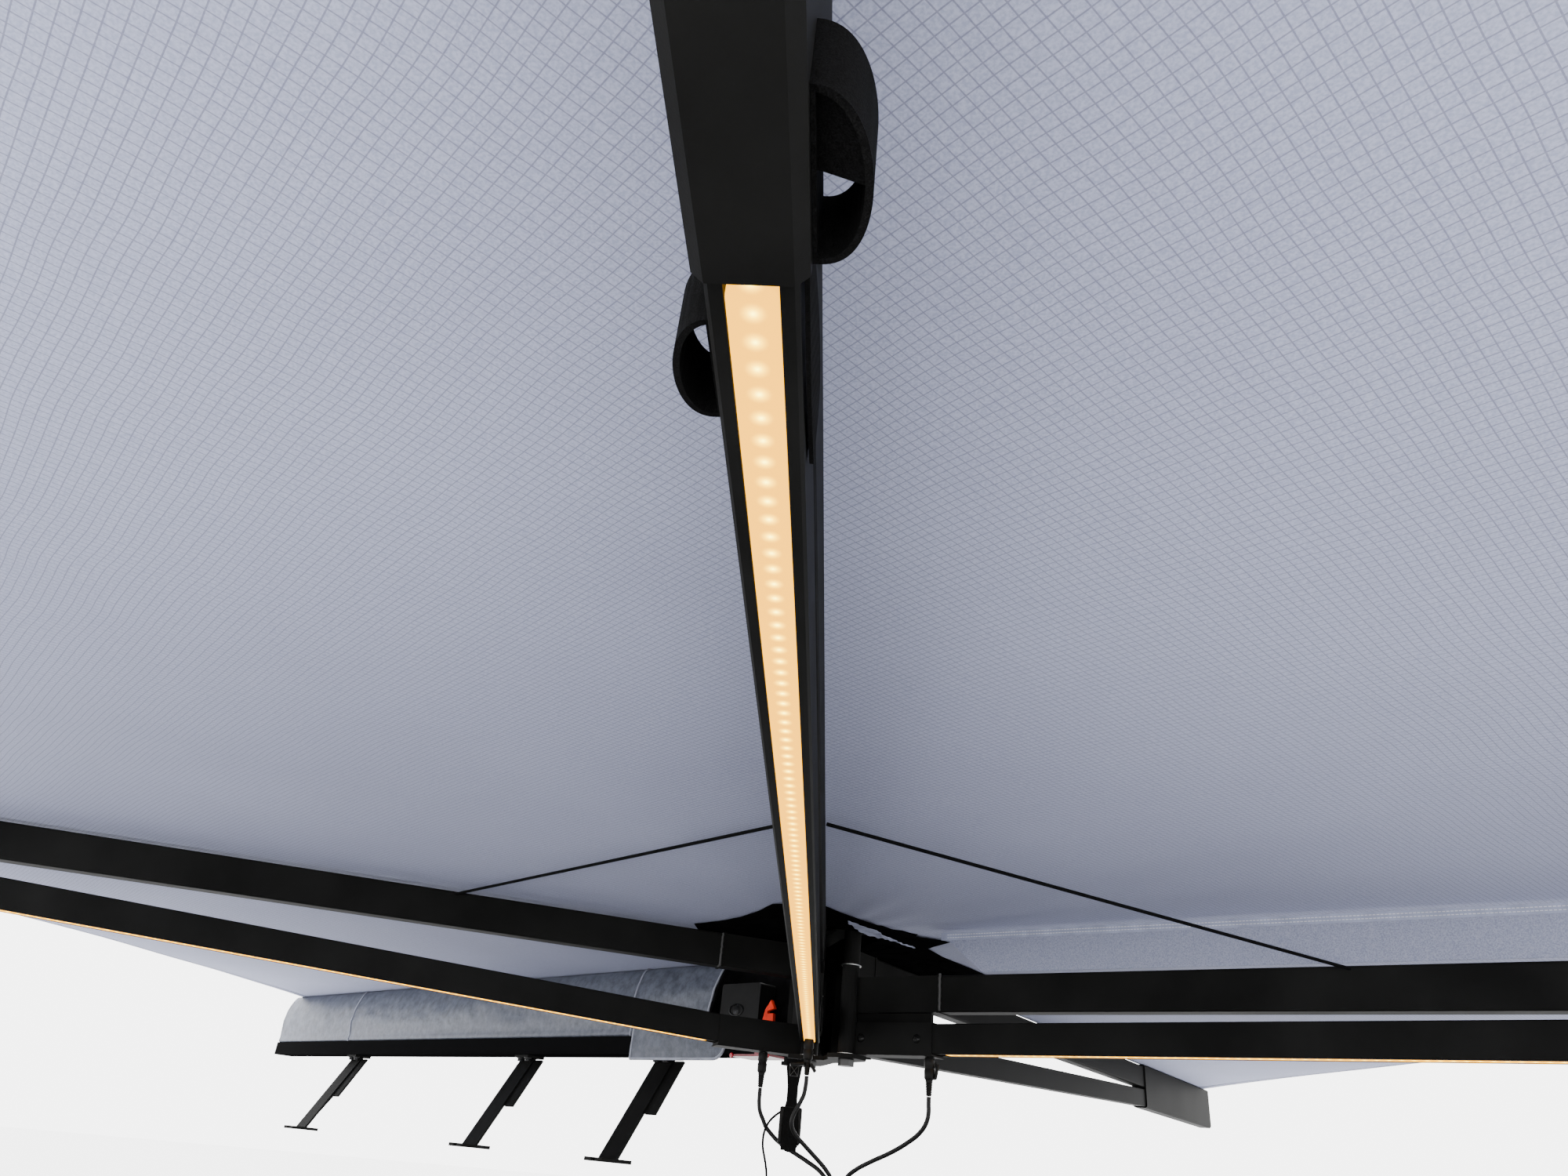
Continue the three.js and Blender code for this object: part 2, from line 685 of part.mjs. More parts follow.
function pivotPin(pin) {
  const low = -PLATE_THICKNESS - FIT_GAP;
  const high = HUB_OPENING + PLATE_THICKNESS + FIT_GAP;
  const shaft = cylinder(PIN_RADIUS, pin.x, pin.y, low - WELD, high + WELD);
  const head = cylinder(PIN_HEAD_RADIUS, pin.x, pin.y, low - PIN_HEAD_HEIGHT, low, PIN_HEAD_SIDES);
  const nut = cylinder(PIN_HEAD_RADIUS, pin.x, pin.y, high, high + PIN_HEAD_HEIGHT, PIN_HEAD_SIDES);
  return join([head, shaft, nut]);
}

// One plate shape serves below and above: round both pins and back under the spine.
function hubPlate(level) {
  const spineBack = SPINE_FRONT + SPINE_THICKNESS;
  const shape = polygon([
    [SPINE_NEAR_X - SPINE_LENGTH, spineBack],
    [SPINE_NEAR_X - SPINE_LENGTH, SPINE_FRONT - PLATE_THICKNESS],
    [SPINE_NEAR_X, SPINE_FRONT - PLATE_THICKNESS],
    [INNER_PIN.x - PLATE_MARGIN, INNER_PIN.y],
    [INNER_PIN.x - PLATE_MARGIN * STRAP_TAB_SHARE, INNER_PIN.y - PLATE_MARGIN],
    [INNER_PIN.x - PLATE_MARGIN / 3, INNER_PIN.y - PLATE_MARGIN * (1 + STRAP_TAB_SHARE / 2)],
    [INNER_PIN.x + PLATE_MARGIN / 3, INNER_PIN.y - PLATE_MARGIN],
    [OUTER_PIN.x - PLATE_MARGIN * 2, OUTER_PIN.y + PLATE_MARGIN / 3],
    [OUTER_PIN.x - PLATE_MARGIN, OUTER_PIN.y - PLATE_MARGIN / 3],
    [OUTER_PIN.x - PLATE_MARGIN / 2, OUTER_PIN.y - PLATE_MARGIN],
    [OUTER_PIN.x + PLATE_MARGIN / 2, OUTER_PIN.y - PLATE_MARGIN],
    [OUTER_PIN.x + PLATE_MARGIN, OUTER_PIN.y - PLATE_MARGIN / 2],
    [OUTER_PIN.x + PLATE_MARGIN, OUTER_PIN.y + PLATE_MARGIN / 2],
    [OUTER_PIN.x + PLATE_MARGIN / 2, OUTER_PIN.y + PLATE_MARGIN],
    [INNER_PIN.x + PLATE_MARGIN, INNER_PIN.y + PLATE_MARGIN],
    [SPINE_NEAR_X, spineBack],
  ].reverse());
  const plate = extrude(shape, PLATE_THICKNESS).translate(0, 0, level);
  const holes = [INNER_PIN, OUTER_PIN].map((pin) =>
    cylinder(BORE_RADIUS, pin.x, pin.y, level - OVERRUN, level + PLATE_THICKNESS + OVERRUN),
  );
  return cut(plate, holes);
}

function spine() {
  const x0 = SPINE_NEAR_X - SPINE_LENGTH;
  return block(x0, SPINE_NEAR_X, SPINE_FRONT, SPINE_FRONT + SPINE_THICKNESS, FIT_GAP, BARREL_TOP);
}

function buildHub() {
  addMesh(rootGroup, "hub_bottom_plate", hubPlate(-PLATE_THICKNESS), BLACK);
  addMesh(rootGroup, "hub_top_plate", hubPlate(HUB_OPENING), BLACK);
  addMesh(rootGroup, "hub_spine", spine(), BLACK);
  addMesh(rootGroup, "pivot_pin_inner", pivotPin(INNER_PIN), STEEL);
  addMesh(rootGroup, "pivot_pin_outer", pivotPin(OUTER_PIN), STEEL);
  const washers = {
    washer_inner_low: [INNER_PIN, FIT_GAP],
    washer_inner_middle: [INNER_PIN, LOWER_BARREL_TOP + FIT_GAP],
    washer_outer_low: [OUTER_PIN, FIT_GAP],
    washer_outer_middle: [OUTER_PIN, OUTER_BARREL_TOP + FIT_GAP],
  };
  for (const [name, [pin, level]] of Object.entries(washers)) {
    const washer = ring(BORE_RADIUS, WASHER_RADIUS, level, level + WASHER_THICKNESS);
    addMesh(rootGroup, name, washer.translate(pin.x, pin.y, 0), STEEL);
  }
}

// An extrusion with a T-slot below for the legs and one behind for accessories.
function backRail() {
  const d = RAIL_DEPTH;
  const h = RAIL_HEIGHT;
  const m = SLOT_MOUTH / 2;
  const s = SLOT_WIDTH / 2;
  const lip = SLOT_LIP;
  const deep = SLOT_LIP + SLOT_DEPTH;
  const shape = polygon([
    [0, 0],
    [d / 2 - m, 0],
    [d / 2 - m, lip],
    [d / 2 - s, lip],
    [d / 2 - s, deep],
    [d / 2 + s, deep],
    [d / 2 + s, lip],
    [d / 2 + m, lip],
    [d / 2 + m, 0],
    [d, 0],
    [d, h / 2 - m],
    [d - lip, h / 2 - m],
    [d - lip, h / 2 - s],
    [d - deep, h / 2 - s],
    [d - deep, h / 2 + s],
    [d - lip, h / 2 + s],
    [d - lip, h / 2 + m],
    [d, h / 2 + m],
    [d, h],
    [0, h],
  ]);
  const inner = RAIL_WALL;
  shape.holes.push(
    polygon([
      [inner, inner],
      [inner, h - inner],
      [d / 2 - s - inner, h - inner],
      [d / 2 - s - inner, inner],
    ]),
  );
  const bar = alongX(extrude(shape, RAIL_LENGTH, 1));
  return bar.translate(RAIL_START_X - RAIL_LENGTH, RAIL_FRONT, RAIL_BASE_LEVEL);
}

function mountingLeg(x) {
  const top = RAIL_BASE_LEVEL - FIT_GAP;
  const under = top - LEG_THICKNESS;
  const footTop = FOOT_FACE + FOOT_THICKNESS;
  const toe = FOOT_CENTRE_Y + FOOT_HEEL - FOOT_LENGTH;
  const heel = FOOT_CENTRE_Y + FOOT_HEEL;
  const t = LEG_THICKNESS / 2 / Math.cos(Math.atan2(LEG_OUTREACH, LEG_DROP));
  const flat = polygon([
    [LEG_TOP_Y - TAB_LENGTH / 2, top],
    [LEG_TOP_Y - TAB_LENGTH / 2, under],
    [LEG_TOP_Y - t, under],
    [FOOT_CENTRE_Y - t, footTop],
    [toe, footTop],
    [toe, FOOT_FACE],
    [heel, FOOT_FACE],
    [heel, footTop],
    [FOOT_CENTRE_Y + t, footTop],
    [LEG_TOP_Y + t, under],
    [LEG_TOP_Y + TAB_LENGTH / 2, under],
    [LEG_TOP_Y + TAB_LENGTH / 2, top],
  ]);
  const rib = polygon([
    [LEG_TOP_Y, under + WELD],
    [FOOT_CENTRE_Y, footTop - WELD],
    [FOOT_CENTRE_Y + LEG_RIB_DEPTH, footTop - WELD],
    [LEG_TOP_Y + LEG_RIB_DEPTH, under - LEG_RIB_DEPTH],
    [LEG_TOP_Y + LEG_RIB_DEPTH, under + WELD],
  ]);
  const leg = alongX(extrude(flat, LEG_WIDTH)).translate(x - LEG_WIDTH / 2, 0, 0);
  const ribBody = alongX(extrude(rib, LEG_THICKNESS)).translate(x - LEG_WIDTH / 2, 0, 0);
  const slot = block(
    x - FOOT_SLOT_WIDTH / 2,
    x + FOOT_SLOT_WIDTH / 2,
    toe - OVERRUN,
    toe + FOOT_SLOT_LENGTH,
    FOOT_FACE - OVERRUN,
    footTop + OVERRUN,
  );
  return cut(join([leg, ribBody]), [slot]);
}

const BAG_SHARES = [
  [0.08, 0],
  [0.92, 0],
  [1.2, 0.12],
  [1.42, 0.36],
  [1.36, 0.62],
  [1.06, 0.84],
  [0.72, 1],
  [0.42, 1],
  [0.16, 0.86],
  [-0.08, 0.6],
  [-0.1, 0.34],
  [0, 0.12],
]; // of the rail's depth, and of the height from the rail to the canopy

function coverBag() {
  const level = RAIL_TOP + FIT_GAP;
  const height = CANOPY_LEVEL - FIT_GAP - level;
  const outline = polygon(BAG_SHARES.map(([y, z]) => [RAIL_FRONT + y * RAIL_DEPTH, level + z * height]));
  const length = RAIL_START_X - RAIL_LENGTH - BAG_START_X;
  return alongX(extrude(outline, -length)).translate(RAIL_START_X - RAIL_LENGTH, 0, 0);
}

// The loose end of the cover, hanging in front of the rail, with its rear end rounded.
function endFlap() {
  const r = FLAP_HEIGHT / 2;
  const shape = new THREE.Shape();
  shape.moveTo(-FLAP_LENGTH, 0);
  shape.lineTo(-r, 0);
  shape.absarc(-r, r, r, -Math.PI / 2, Math.PI / 2);
  shape.lineTo(-FLAP_LENGTH, FLAP_HEIGHT);
  const sheet = alongMinusY(extrude(shape, FLAP_THICKNESS, 8));
  return sheet.translate(FLAP_START_X, RAIL_FRONT - FIT_GAP, FLAP_LEVEL);
}

function buildRail() {
  addMesh(rootGroup, "back_rail", backRail(), RAIL_BLACK);
  const end = RAIL_START_X - RAIL_LENGTH - FIT_GAP;
  addMesh(
    rootGroup,
    "rail_end_cap",
    block(end - CAP_THICKNESS, end, RAIL_FRONT, RAIL_FRONT + RAIL_DEPTH, RAIL_BASE_LEVEL, RAIL_TOP),
    ROUGH_BLACK,
  );
  LEG_XS.forEach((x, i) => addMesh(rootGroup, `mounting_leg_${i + 1}`, mountingLeg(x), BLACK));
  addMesh(rootGroup, "cover_bag", coverBag(), BAG_GREY);
  addMesh(rootGroup, "cover_end_flap", endFlap(), BAG_GREY);
}

const buttonPlace = {
  x: BOX_CENTRE_X + BOX_WIDTH / 2 - BUTTON_FROM_CORNER,
  z: RAIL_TOP + FIT_GAP + BUTTON_FROM_CORNER,
};

function cylinderAlongY(radius, x, z, y0, y1, sides = ROUND_STEPS) {
  return new THREE.CylinderGeometry(radius, radius, y1 - y0, sides).translate(x, (y0 + y1) / 2, z);
}

function controlBox() {
  const level = RAIL_TOP + FIT_GAP;
  const shell = alongMinusY(extrude(roundedOutline(BOX_WIDTH, BOX_HEIGHT, BOX_CORNER), BOX_DEPTH));
  shell.translate(BOX_CENTRE_X, BOX_FRONT + BOX_DEPTH, level + BOX_HEIGHT / 2);
  const pocket = cylinderAlongY(
    BUTTON_RADIUS + FIT_GAP,
    buttonPlace.x,
    buttonPlace.z,
    BOX_FRONT - OVERRUN,
    BOX_FRONT + BUTTON_POCKET,
  );
  return cut(shell, [pocket]);
}

function pushButton() {
  const front = BOX_FRONT - BUTTON_PROUD;
  const back = BOX_FRONT + BUTTON_POCKET - BUTTON_TRAVEL - FIT_GAP;
  return cylinderAlongY(BUTTON_RADIUS, buttonPlace.x, buttonPlace.z, front, back);
}

// A clip round the rail's front edge, with two lugs on the rail for the lever.
function latchBase() {
  const x1 = LATCH_X + LATCH_WIDTH / 2 + LUG_THICKNESS;
  const under = RAIL_BASE_LEVEL - FIT_GAP;
  const front = RAIL_FRONT - FIT_GAP;
  const lugLow = RAIL_TOP + FIT_GAP;
  const lugTop = LATCH_PIVOT_LEVEL + LATCH_HUB_RADIUS;
  const lugBack = LATCH_PIVOT_Y + LATCH_HUB_RADIUS;
  const lugs = [-1, 1].map((side) => {
    const centre = LATCH_X + side * (LATCH_WIDTH / 2 + LUG_THICKNESS / 2 + FIT_GAP);
    return block(centre - LUG_THICKNESS / 2, centre + LUG_THICKNESS / 2, front - BASE_THICKNESS, lugBack, lugLow, lugTop);
  });
  const reach = LATCH_WIDTH / 2 + LUG_THICKNESS + FIT_GAP;
  const web = block(LATCH_X - reach, LATCH_X + reach, front - BASE_THICKNESS, front, under - BASE_THICKNESS, lugLow + WELD);
  const plate = block(x1 - BASE_LENGTH, x1, front - BASE_THICKNESS, front + BASE_DEPTH, under - BASE_THICKNESS, under);
  const pin = new THREE.CylinderGeometry(LATCH_PIN_RADIUS, LATCH_PIN_RADIUS, 2 * reach, 12);
  pin.rotateZ(Math.PI / 2).translate(LATCH_X, LATCH_PIVOT_Y, LATCH_PIVOT_LEVEL);
  return join([plate, web, ...lugs, pin]);
}

const HOOK_SHARES = [
  [-0.5, 0],
  [0.5, 0],
  [0.44, 0.5],
  [0, 0.5],
  [-0.04, 0.6],
  [0.5, 0.68],
  [0.2, 1],
  [-0.22, 0.66],
]; // of the lever's width and height

function latchLever() {
  const shape = polygon(HOOK_SHARES.map(([x, z]) => [x * (LATCH_WIDTH - FIT_GAP), z * LATCH_HEIGHT]));
  const blade = alongMinusY(extrude(shape, LATCH_THICKNESS));
  blade.translate(LATCH_X, LATCH_PIVOT_Y + LATCH_THICKNESS / 2, LATCH_PIVOT_LEVEL + LATCH_HUB_RADIUS / 2);
  const width = LATCH_WIDTH - FIT_GAP;
  const hub = new THREE.CylinderGeometry(LATCH_HUB_RADIUS, LATCH_HUB_RADIUS, width, 16);
  hub.rotateZ(Math.PI / 2).translate(LATCH_X, LATCH_PIVOT_Y, LATCH_PIVOT_LEVEL);
  const bore = new THREE.CylinderGeometry(
    LATCH_PIN_RADIUS + FIT_GAP,
    LATCH_PIN_RADIUS + FIT_GAP,
    width + 2 * OVERRUN,
    16,
  );
  bore.rotateZ(Math.PI / 2).translate(LATCH_X, LATCH_PIVOT_Y, LATCH_PIVOT_LEVEL);
  return cut(join([blade, hub]), [bore]);
}

function buildLatch() {
  addMesh(rootGroup, "control_box", controlBox(), ROUGH_BLACK);
  addMesh(part, "push_button", pushButton(), ORANGE);
  addMesh(rootGroup, "latch_base", latchBase(), DARK_RED);
  addMesh(part, "latch_lever", latchLever(), ORANGE);
}

// The hanging tether: a tapered tab and webbing, a cam buckle on it and the cam's lever.
const strapGroup = new THREE.Group();
strapGroup.position.set(STRAP_X, STRAP_Y, -PLATE_THICKNESS - FIT_GAP);
strapGroup.rotation.z = radians(STRAP_TURN);
part.add(strapGroup);
const BUCKLE_TOP = -STRAP_LENGTH - FIT_GAP;
const CAM_PIVOT = BUCKLE_TOP - BUCKLE_WALL - CAM_THICKNESS;

function hangingStrap() {
  const a = STRAP_TOP_WIDTH / 2;
  const b = STRAP_WIDTH / 2;
  const shape = polygon([
    [-b, -STRAP_LENGTH],
    [b, -STRAP_LENGTH],
    [b, -STRAP_TAPER],
    [a, 0],
    [-a, 0],
    [-b, -STRAP_TAPER],
  ]);
  return alongMinusY(extrude(shape, STRAP_THICKNESS)).translate(0, STRAP_THICKNESS / 2, 0);
}

function buckleFrame() {
  const w = BUCKLE_WIDTH / 2;
  const inner = w - BUCKLE_WALL;
  const low = BUCKLE_TOP - BUCKLE_HEIGHT;
  const y = BUCKLE_DEPTH / 2;
  const body = block(-w, w, -y, y, low, BUCKLE_TOP);
  const room = block(
    -inner,
    inner,
    -y - OVERRUN,
    y + OVERRUN,
    low + BUCKLE_WALL,
    BUCKLE_TOP - BUCKLE_WALL,
  );
  const pin = new THREE.CylinderGeometry(CAM_PIN_RADIUS, CAM_PIN_RADIUS, 2 * inner + 2 * WELD, 10);
  pin.rotateZ(Math.PI / 2).translate(0, 0, CAM_PIVOT);
  return join([cut(body, [room]), pin]);
}

function buckleCam() {
  const half = BUCKLE_WIDTH / 2 - BUCKLE_WALL - 2 * FIT_GAP;
  const t = CAM_THICKNESS / 2;
  const boss = new THREE.CylinderGeometry(CAM_THICKNESS, CAM_THICKNESS, 2 * half, 14);
  boss.rotateZ(Math.PI / 2).translate(0, 0, CAM_PIVOT);
  const blade = block(-half, half, -t, t, CAM_PIVOT - CAM_LENGTH, CAM_PIVOT);
  const bore = new THREE.CylinderGeometry(CAM_PIN_RADIUS + FIT_GAP, CAM_PIN_RADIUS + FIT_GAP, BUCKLE_WIDTH, 14);
  bore.rotateZ(Math.PI / 2).translate(0, 0, CAM_PIVOT);
  return cut(join([boss, blade]), [bore]);
}

addMesh(strapGroup, "hanging_strap", hangingStrap(), ROUGH_BLACK);
addMesh(strapGroup, "buckle_frame", buckleFrame(), ROUGH_BLACK);
addMesh(strapGroup, "buckle_cam", buckleCam(), ROUGH_BLACK);

// A webbing loop sewn beside arm 2: a closed band, flat against the arm and bulging out from it.
function webbingLoop(start, side, out, bulge, level) {
  const half = LOOP_LENGTH / 2;
  const band = (inset) =>
    Array.from({ length: LOOP_STEPS + 1 }, (_, i) => {
      const a = (Math.PI * (out > 0 ? i : LOOP_STEPS - i)) / LOOP_STEPS;
      const across = inset + (bulge - 2 * inset) * Math.sin(a);
      return new THREE.Vector2(start + half + (half - 3 * inset) * Math.cos(a), out * (side + across));
    });
  const shape = new THREE.Shape(band(0));
  shape.holes.push(new THREE.Path(band(LOOP_THICKNESS)));
  return extrude(shape, LOOP_WIDTH).translate(0, 0, level);
}

// Both loops sit above the level of arm 3's sleeve, which folds in beside them.
const loopLevel = MIDDLE_BEAM_LEVEL + UPPER_HEIGHT / 2 + SLEEVE_WALL + 2 * BEAM_MEET_GAP;
const sleeveLoopAt = SLEEVE_START + LOOP_LENGTH / 4;
const beamLoopAt = SLEEVE_START - LOOP_LENGTH - LOOP_THICKNESS;
const sleeveLoop = webbingLoop(sleeveLoopAt, SLEEVE_WIDTH / 2 + FIT_GAP, 1, LOOP_BULGE, loopLevel);
const beamLoop = webbingLoop(beamLoopAt, BEAM_WIDTH / 2 + FIT_GAP, -1, SMALL_LOOP_BULGE, loopLevel);
addMesh(armGroups[2], "strap_loop_sleeve", sleeveLoop, ROUGH_BLACK);
addMesh(armGroups[2], "strap_loop_beam", beamLoop, ROUGH_BLACK);

// A canopy panel's outline: along one side, in along the sagging outer edge, and back along the other.
function panelGeometry(near, far) {
  const [nearIn, nearTip] = near;
  const [farIn, farTip] = far;
  const middle = { x: (nearTip.x + farTip.x) / 2, y: (nearTip.y + farTip.y) / 2 };
  const hub = { x: (nearIn.x + farIn.x) / 2, y: (nearIn.y + farIn.y) / 2 };
  const pull = 2 * PANEL_EDGE_SAG_SHARE;
  const control = new THREE.Vector2(middle.x + (hub.x - middle.x) * pull, middle.y + (hub.y - middle.y) * pull);
  const shape = new THREE.Shape();
  shape.moveTo(nearIn.x, nearIn.y);
  shape.lineTo(nearTip.x, nearTip.y);
  shape.quadraticCurveTo(control.x, control.y, farTip.x, farTip.y);
  shape.lineTo(farIn.x, farIn.y);
  return extrude(shape, CANOPY_THICKNESS, PANEL_EDGE_STEPS).translate(0, 0, CANOPY_LEVEL);
}

const armSide = (arm, side) => [
  armPoint(arm, PANEL_INNER, arm.offset + (side * PANEL_SEAM) / 2),
  armPoint(arm, ARM_REACH - TIP_INSET, arm.offset + (side * PANEL_SEAM) / 2),
];
const railSide = [
  { x: -PANEL_INNER, y: RAIL_FRONT + BAG_TOP_WIDTH },
  { x: RAIL_START_X - RAIL_LENGTH + TIP_INSET, y: RAIL_FRONT + BAG_TOP_WIDTH },
];

function middleSkirt(arm) {
  const low = arm.upper + UPPER_HEIGHT / 2 + SLEEVE_WALL + FIT_GAP;
  const side = arm.offset - BEAM_WIDTH / 4;
  const strip = block(
    PANEL_INNER,
    ARM_REACH - 2 * TIP_INSET,
    side - SKIRT_THICKNESS,
    side,
    low,
    CANOPY_LEVEL + WELD,
  );
  strip.rotateZ(radians(arm.bearing));
  return strip.translate(arm.pin.x, arm.pin.y, 0);
}

function buildCanopy() {
  const [one, two, three, four] = ARMS;
  addMesh(part, "canopy_panel_1", panelGeometry(railSide, armSide(one, -1)), CLOTH);
  addMesh(part, "canopy_panel_2", panelGeometry(armSide(one, 1), armSide(two, -1)), CLOTH);
  const third = panelGeometry(armSide(two, 1), armSide(three, -1));
  addMesh(part, "canopy_panel_3", join([third, middleSkirt(three)]), CLOTH);
  addMesh(part, "canopy_panel_4", panelGeometry(armSide(three, 1), armSide(four, -1)), CLOTH);
  const rim = CANOPY_LEVEL + CANOPY_THICKNESS + FIT_GAP;
  const crown = rim + COVER_RISE;
  const profile = [
    [0, crown],
    [COVER_FLAT_RADIUS, crown],
    [COVER_RADIUS, rim],
    [COVER_RADIUS, rim + CANOPY_THICKNESS],
    [COVER_FLAT_RADIUS, crown + CANOPY_THICKNESS],
    [0, crown + CANOPY_THICKNESS],
  ].map(([r, z]) => new THREE.Vector2(r, z));
  const dome = new THREE.LatheGeometry(profile, COVER_STEPS).rotateX(Math.PI / 2);
  addMesh(rootGroup, "hub_cover", dome.translate(OUTER_PIN_X / 2, 0, 0), ROUGH_BLACK);
}

function straightCord(from, to) {
  const a = new THREE.Vector3(from.x, from.y, from.z);
  const b = new THREE.Vector3(to.x, to.y, to.z);
  const run = b.clone().sub(a);
  const rod = new THREE.CylinderGeometry(SHOCK_CORD_DIAMETER / 2, SHOCK_CORD_DIAMETER / 2, run.length(), LEAD_SIDES);
  rod.applyQuaternion(new THREE.Quaternion().setFromUnitVectors(new THREE.Vector3(0, 1, 0), run.normalize()));
  return rod.translate((a.x + b.x) / 2, (a.y + b.y) / 2, (a.z + b.z) / 2);
}

// Elastic cords that draw the cloth in, from the centre arm to its neighbours, under the canopy.
function shockCord(from, fromAlong, fromSide, to, toAlong, toSide, toLevel) {
  const clear = BEAM_WIDTH / 2 + SHOCK_CORD_DIAMETER * CORD_SEAT_SHARE + FIT_GAP;
  const level = BEAM_TOP - SHOCK_CORD_DIAMETER;
  const a = armPoint(from, fromAlong, from.offset + fromSide * clear);
  const b = armPoint(to, toAlong, to.offset + toSide * clear);
  return straightCord({ ...a, z: level }, { ...b, z: toLevel });
}

function buildShockCords() {
  const [one, two, three] = ARMS;
  const high = BEAM_TOP - SHOCK_CORD_DIAMETER;
  const low = three.upper + UPPER_HEIGHT / 2 - SHOCK_CORD_DIAMETER;
  const left = shockCord(two, CENTRE_CORD_AT, -1, one, FIRST_CORD_AT, 1, high);
  const right = shockCord(two, CENTRE_CORD_AT, 1, three, THIRD_CORD_AT, -1, low);
  addMesh(part, "shock_cord_left", left, ROUGH_BLACK);
  addMesh(part, "shock_cord_right", right, ROUGH_BLACK);
}

// Routes of the three light leads, from under each plug to the splitter, in the hub frame.
const LEAD_ROUTES = {
  light_lead_1: [
    [-63, -37, -49], [-63, -37, -59], [-63, -36, -69], [-62, -34, -80], [-59, -29, -91],
    [-55, -25, -101], [-48, -19, -110], [-39, -14, -118], [-28, -8, -125], [-16, -3, -131], [-4, 3, -137],
    [8, 8, -143], [19, 13, -149], [28, 17, -156], [34, 20, -164], [36, 21, -172], [36, 21, -179],
  ],
  light_lead_2: [
    [40, -45, -36], [40, -45, -46], [39, -46, -56], [36, -48, -65], [32, -50, -74], [27, -52, -84],
    [24, -52, -94], [23, -47, -104], [25, -38, -113], [28, -27, -121], [31, -16, -129], [35, -4, -138],
    [39, 7, -147], [43, 16, -157], [45, 22, -167], [45, 25, -173], [45, 25, -179],
  ],
  light_lead_3: [
    [216, 20, -49], [216, 20, -59], [216, 20, -68], [214, 20, -78], [208, 20, -88], [196, 21, -98],
    [180, 22, -107], [161, 23, -116], [141, 24, -124], [121, 25, -131], [101, 27, -138], [84, 28, -145],
    [70, 28, -153], [60, 29, -162], [55, 29, -171], [54, 29, -179],
  ],
};

// Where a lead really starts: a little below its plug, on the plug's axis.
function leadStart(arm) {
  const p = armPoint(arm, arm.plugAt, arm.offset);
  return [p.x, p.y, plugTop(arm) - PLUG_LENGTH - FIT_GAP];
}

function leadPath(name) {
  const points = LEAD_ROUTES[name].map((p) => new THREE.Vector3(...p));
  return new THREE.CatmullRomCurve3(points, false, "centripetal");
}

function sectionOf(diameter, sides) {
  const r = diameter / 2;
  return polygon(
    Array.from({ length: sides }, (_, i) => {
      const a = (2 * Math.PI * i) / sides;
      return [r * Math.cos(a), r * Math.sin(a)];
    }),
  );
}

function leadTube(name) {
  return new THREE.ExtrudeGeometry(sectionOf(LEAD_DIAMETER, LEAD_SIDES), {
    steps: LEAD_STEPS,
    extrudePath: leadPath(name),
    bevelEnabled: false,
  });
}

const SPLITTER = { x: 45, y: 25, top: -179.3, turn: 24 };

function splitterBody() {
  const shape = roundedOutline(SPLITTER_LENGTH, SPLITTER_HEIGHT, SPLITTER_DEPTH / 4);
  const body = alongMinusY(extrude(shape, SPLITTER_DEPTH)).translate(0, SPLITTER_DEPTH / 2, 0);
  body.rotateZ(radians(SPLITTER.turn));
  return body.translate(SPLITTER.x, SPLITTER.y, SPLITTER.top - SPLITTER_HEIGHT / 2);
}

// The power lead: straight down, a quarter bend, then loops that spiral in and out through the layers,
// climbing one layer in the half turn where the spiral reverses, and out again down to the plug.
function powerLeadPoints() {
  const points = [];
  const top = SPLITTER.top - SPLITTER_HEIGHT - FIT_GAP;
  const turnDown = top - LEAD_DROP;
  points.push(new THREE.Vector3(0, 0, top));
  points.push(new THREE.Vector3(0, 0, turnDown));
  const bendSteps = 4;
  for (let i = 1; i < bendSteps; i += 1) {
    const a = ((Math.PI / 2) * i) / bendSteps;
    points.push(new THREE.Vector3(LEAD_BEND * (1 - Math.cos(a)), 0, turnDown - LEAD_BEND * Math.sin(a)));
  }
  const centreX = LEAD_BEND;
  const centreZ = turnDown - LEAD_BEND - COIL_OUTER_RADIUS;
  const inward = COIL_PITCH * COIL_LAYER_TURNS;
  let angle = Math.PI / 2;
  let depth = 0;
  const stepAngle = (2 * Math.PI) / COIL_STEPS;
  const put = (radius) => {
    points.push(new THREE.Vector3(centreX + radius * Math.cos(angle), depth, centreZ + radius * Math.sin(angle)));
    angle -= stepAngle;
  };
  for (let layer = 0; layer < COIL_LAYERS; layer += 1) {
    const from = layer % 2 ? COIL_OUTER_RADIUS - inward : COIL_OUTER_RADIUS;
    const to = layer % 2 ? COIL_OUTER_RADIUS : COIL_OUTER_RADIUS - inward;
    const steps = COIL_LAYER_TURNS * COIL_STEPS;
    for (let i = 0; i < steps; i += 1) put(from + ((to - from) * i) / steps);
    if (layer === COIL_LAYERS - 1) break;
    const climb = COIL_CLIMB_TURNS * COIL_STEPS;
    for (let i = 0; i < climb; i += 1) {
      put(to);
      depth += COIL_PITCH / climb;
    }
  }
  put(COIL_OUTER_RADIUS);
  const bottom = centreZ - COIL_OUTER_RADIUS;
  for (let i = 1; i <= bendSteps; i += 1) {
    const a = ((Math.PI / 2) * i) / bendSteps;
    points.push(
      new THREE.Vector3(centreX - LEAD_BEND * Math.sin(a), depth, bottom - LEAD_BEND * (1 - Math.cos(a))),
    );
  }
  const end = points[points.length - 1].clone();
  end.z -= LEAD_DIAMETER;
  points.push(end);
  return points;
}

